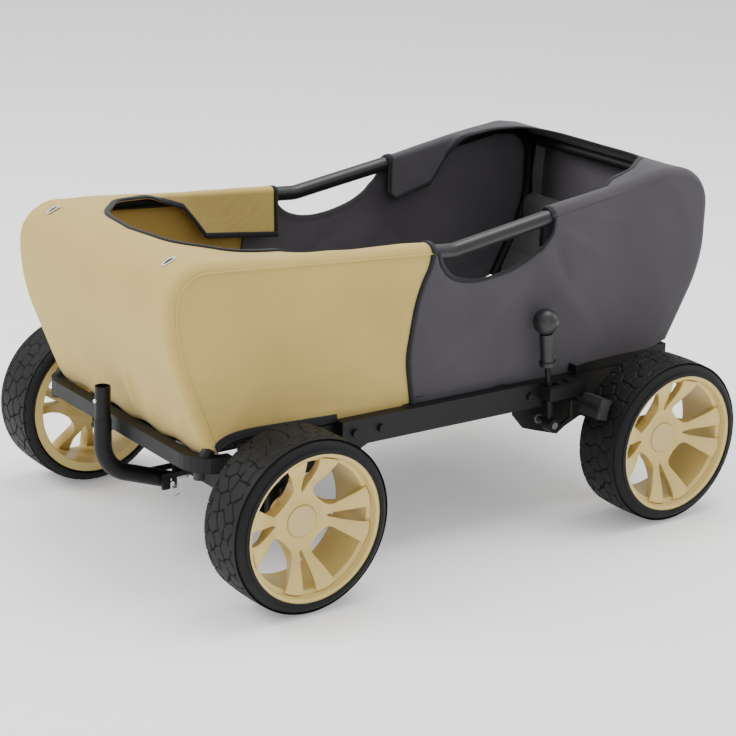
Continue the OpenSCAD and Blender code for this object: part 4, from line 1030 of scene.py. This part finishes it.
class Rims(bpy.types.Operator):
    """Makes the four rims: dished twin spokes in a stepped barrel"""
    bl_idname = "wagon.rims"
    bl_label = "Rims"

    def execute(self, context):
        strips, barrel, hub = rim_grids()
        for end, side in WHEELS:
            sign = SIDES[side]
            name = "%s_%s" % (end, side)
            said = ("rim_polypropylene", "wheel_" + name, "rim_plastic", "rim_" + name)
            parts = [(wheel_place(end, sign, g), *rest) for g, *rest in strips]
            spokes = made("rim_spokes_" + name, parts, *said, gap=0.00012)
            face_x(spokes, sign)
            wall = spokes.modifiers.new("depth", "SOLIDIFY")
            wall.thickness, wall.offset, wall.use_even_offset = 0.017, -1, False
            soft = spokes.modifiers.new("edges", "BEVEL")
            soft.width, soft.segments, soft.limit_method, soft.angle_limit = 0.0019, 3, "ANGLE", math.radians(55)
            made("rim_barrel_" + name, [(wheel_place(end, sign, barrel), True, True, False, None)], *said)
            core = made("rim_hub_" + name, [(wheel_place(end, sign, hub), True, False, False, None)], *said)
            thick = core.modifiers.new("depth", "SOLIDIFY")
            thick.thickness, thick.offset = 0.003, -1
        return {"FINISHED"}


def face_x(piece, sign):
    """Turns an open sheet's faces towards +X or -X."""
    mesh = piece.data
    facing = np.empty(len(mesh.polygons) * 3)
    mesh.polygons.foreach_get("normal", facing)
    if facing.reshape(-1, 3)[:, 0].sum() * sign < 0:
        mesh.flip_normals()
    mesh.update()


# ---- Tubes ----

class Hoops(bpy.types.Operator):
    """Makes the two bent hoops and their foam grips"""
    bl_idname = "wagon.hoops"
    bl_label = "Hoops and grips"

    def execute(self, context):
        sizes = context.scene.wagon_sizes
        y, z, ny, nz = TUB.at(np.linspace(0, TUB.s[-1], 700))
        line = np.stack([y - HOOP_IN * ny, z - HOOP_IN * nz], 1)
        low, high = mm_box("hoop_left")
        keep = (line[:, 1] > low[2] + 0.5) & ((line[:, 0] < 0) | (line[:, 1] > 264.2))
        line = even(line[keep], 420)
        radius = (high[0] - low[0]) / 2
        for side, sign in SIDES.items():
            path = np.concatenate([np.full((len(line), 1), sign * HOOP_X), line], 1)
            tube = capped(carried(path, circle(radius, 24), (1.0, 0.0, 0.0)))
            made("hoop_tube_" + side, [(tube, False, True, False, None)],
                 "powder_coated_steel", "frame", "frame_paint", "hoop_" + side)
        grips = []
        s0, s1 = (float(TUB.s_at_y(v, TOP_RUN)) for v in (GRIP_START - 10, GRIP_END + 10))
        y, z, ny, nz = TUB.at(np.linspace(s0, s1, 120))
        for sign in (1, -1):
            path = np.stack([np.full(120, sign * HOOP_X), y - HOOP_IN * ny, z - HOOP_IN * nz], 1)
            grip = capped(carried(path, circle(sizes.grip_d / MM / 2, 32), (1.0, 0.0, 0.0)))
            grips.append((grip, False, True, False, None))
        made("foam_grips", grips, "grip_foam", "frame", "grip_foam", "hoop_grips")
        return {"FINISHED"}


# ---- Padding ----

class Backrest(bpy.types.Operator):
    """Makes the padded back and its two harness straps"""
    bl_idname = "wagon.backrest"
    bl_label = "Backrest and straps"

    def execute(self, context):
        low, high = mm_box("backrest_pad")
        rows, cols = 60, 90
        v, u = np.linspace(0, 1, rows)[:, None], np.linspace(-1, 1, cols)[None]
        # It leans on the back wall: y follows the wall from the floor up, and the pad's outline is a rounded rectangle
        z = low[2] + 3 + (high[2] - low[2] - 6) * v
        corner = 1 - 0.09 * np.clip(np.abs(2 * v - 1) - 0.8, 0, 1) ** 2 / 0.04
        x = u * (high[0] - 6) * corner
        wall_y = np.interp(z, [low[2], DECK + 140, high[2]], [high[1] - 62, high[1] - 6, high[1] - 3])
        edge = np.clip(1 - np.maximum(np.abs(u) ** 10, np.abs(2 * v - 1) ** 10), 0, 1) ** 0.5
        channels = np.abs(np.sin(math.pi * 3 * v)) ** 0.35
        puff = edge * (0.72 + 0.28 * channels)
        p = np.stack(np.broadcast_arrays(x, 0 * x, z), -1)
        front = np.stack(np.broadcast_arrays(x, wall_y - 4 - 17 * puff + 0.6 * waves(p, 21, 70), z), -1)
        back = np.stack(np.broadcast_arrays(x, wall_y - 4 + 3 * edge, z), -1)
        uv = np.stack(np.broadcast_arrays(x, z), -1)
        pad = made("backrest_cushion", [(front, False, False, False, uv), (back, False, False, True, uv)],
                   "padding_polyester", "frame", "cloth_black", "backrest_pad", gap=0.0002)
        box_low, box_high = mm_box("harness_straps")
        for side, sign in SIDES.items():
            t = np.linspace(0, 1, 60)[:, None]
            w = np.linspace(-12, 12, 9)[None]
            middle = (box_high[0] - 12) * sign
            z = box_high[2] - (box_high[2] - box_low[2] + 26) * t
            y = box_low[1] + 1 - 6 * np.sin(math.pi * t) - 9 * smooth(t, 0.72, 1.0)
            x, y = middle + w + 2 * np.sin(3 * t), y + 0.012 * w * np.sin(4 * t) * 10
            grid = np.stack(np.broadcast_arrays(x, y, z), -1)
            uv = np.stack(np.broadcast_arrays(w, z), -1)
            strap = mesh_piece("harness_strap_" + side, [(grid, False, False, False, uv)])
            thick = strap.modifiers.new("wall", "SOLIDIFY")
            thick.thickness, thick.offset = 0.0015, 0
            dress(strap, "nylon_webbing")
            declare(strap, "frame", "webbing", "harness_straps")
            sheet_of(grid)
        return {"FINISHED"}


# ---- Pieces kept from the CAD ----

class Finishes(bpy.types.Operator):
    """Gives every CAD piece its finish"""
    bl_idname = "wagon.finishes"
    bl_label = "Finishes"

    def execute(self, context):
        by_slot = {
            "frame_paint": "powder_coated_steel", "zinc_plate": "zinc_plated_steel", "axle_steel": "drawn_steel",
            "floor_board": "film_faced_board", "tyre_foam": "foam_rubber", "rim_plastic": "rim_polypropylene",
            "cap_plastic": "cap_polypropylene", "bush_nylon": "bush_nylon", "cloth_sand": "sand_polyester",
            "cloth_grey": "charcoal_polyester", "cloth_lining": "lining_polyester_painted_light",
            "cloth_black": "padding_polyester", "webbing": "nylon_webbing", "grip_foam": "grip_foam",
            "black_rubber": "black_rubber", "knob_plastic": "knob_polypropylene", "chrome_pin": "chrome_plate"}
        slots = {part["node"]: part["material_slot"] for part in frame["record"]["subparts"]}
        for name, node in frame["nodes"].items():
            material = finish("powder_coated_steel" if name == "frame_bolts" else by_slot[slots[name]])
            for slot in node.material_slots:
                slot.material = material
        return {"FINISHED"}


# ---- Stage ----

class Stage(bpy.types.Operator):
    """Makes the pale floor, the soft studio lights and the camera"""
    bl_idname = "wagon.stage"
    bl_label = "Stage"

    def execute(self, context):
        scene = context.scene
        corners = [[(x, y, 0) for x in (-FLOOR_HALF, FLOOR_HALF)] for y in (-FLOOR_HALF, FLOOR_HALF)]
        floor = mesh_piece("floor", [(np.array(corners, float), False, False, True, None)])
        material, tree, shader = finish_of("pale_floor")
        at = add(tree, "ShaderNodeTexCoord").outputs["Object"]
        tree.links.new(mottled(tree, at, (0.95, 0.95, 0.95), 0.004, 0.8), shader.inputs["Base Color"])
        shader.inputs["Roughness"].default_value = 0.9
        shader.inputs["Emission Color"].default_value = (1, 1, 1, 1)
        shader.inputs["Emission Strength"].default_value = 0.2
        floor.data.materials.append(material)
        world = bpy.data.worlds.new("studio")
        world.use_nodes = True
        world.node_tree.nodes["Background"].inputs[0].default_value = (1, 1, 1, 1)
        world.node_tree.nodes["Background"].inputs[1].default_value = 0.95
        scene.world = world
        for name, place, size, power in LAMPS:
            lamp = bpy.data.lights.new(name, "AREA")
            lamp.size, lamp.energy = size, power
            holder = bpy.data.objects.new(name, lamp)
            holder.location = place
            holder.rotation_euler = (Vector((0, 0, 0.3)) - Vector(place)).to_track_quat("-Z", "Y").to_euler()
            scene.collection.objects.link(holder)
        camera = bpy.data.cameras.new("camera")
        camera.sensor_width = 36
        camera.lens = LENS
        camera.clip_end = 200
        azimuth, elevation, roll = (math.radians(angle) for angle in (AZIMUTH, ELEVATION, ROLL))
        level = math.cos(elevation)
        back = Vector((math.sin(azimuth) * level, -math.cos(azimuth) * level, math.sin(elevation)))
        right = Vector((0, 0, 1)).cross(back).normalized()
        up = back.cross(right)
        x = right * math.cos(roll) + up * math.sin(roll)
        y = up * math.cos(roll) - right * math.sin(roll)
        holder = bpy.data.objects.new("camera", camera)
        holder.matrix_world = Matrix([(x[k], y[k], back[k], 0) for k in range(3)] + [(0, 0, 0, 1)])
        holder.location = Vector(TARGET) + back * DISTANCE
        scene.collection.objects.link(holder)
        scene.camera = holder
        return {"FINISHED"}


class Wagon_Panel(bpy.types.Panel):
    """The wagon's pieces and settings"""
    bl_idname = "VIEW3D_PT_wagon"
    bl_label = "Pull wagon"
    bl_space_type = "VIEW_3D"
    bl_region_type = "UI"
    bl_category = "Wagon"

    def draw(self, context):
        for group in (context.scene.wagon_sizes, context.scene.wagon_colours):
            column = self.layout.column(align=True)
            for key in group.bl_rna.properties.keys():
                if key not in ("rna_type", "name"):
                    column.prop(group, key)
        for operator in OPERATORS:
            self.layout.operator(operator.bl_idname)


OPERATORS = [Finishes, Front_Cover, Rear_Cover, Eyelets, Tyres, Rims, Hoops, Backrest, Stage]
CLASSES = [WagonSizes, WagonColours, *OPERATORS, Wagon_Panel]


def register():
    for c in CLASSES:
        bpy.utils.register_class(c)
    bpy.types.Scene.wagon_sizes = PointerProperty(type=WagonSizes)
    bpy.types.Scene.wagon_colours = PointerProperty(type=WagonColours)


def unregister():
    del bpy.types.Scene.wagon_colours
    del bpy.types.Scene.wagon_sizes
    for c in reversed(CLASSES):
        bpy.utils.unregister_class(c)


def main():
    """Registers the add-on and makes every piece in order."""
    register()
    for operator in OPERATORS:
        group, name = operator.bl_idname.split(".")
        getattr(getattr(bpy.ops, group), name)()


if __name__ == "__main__":
    main()
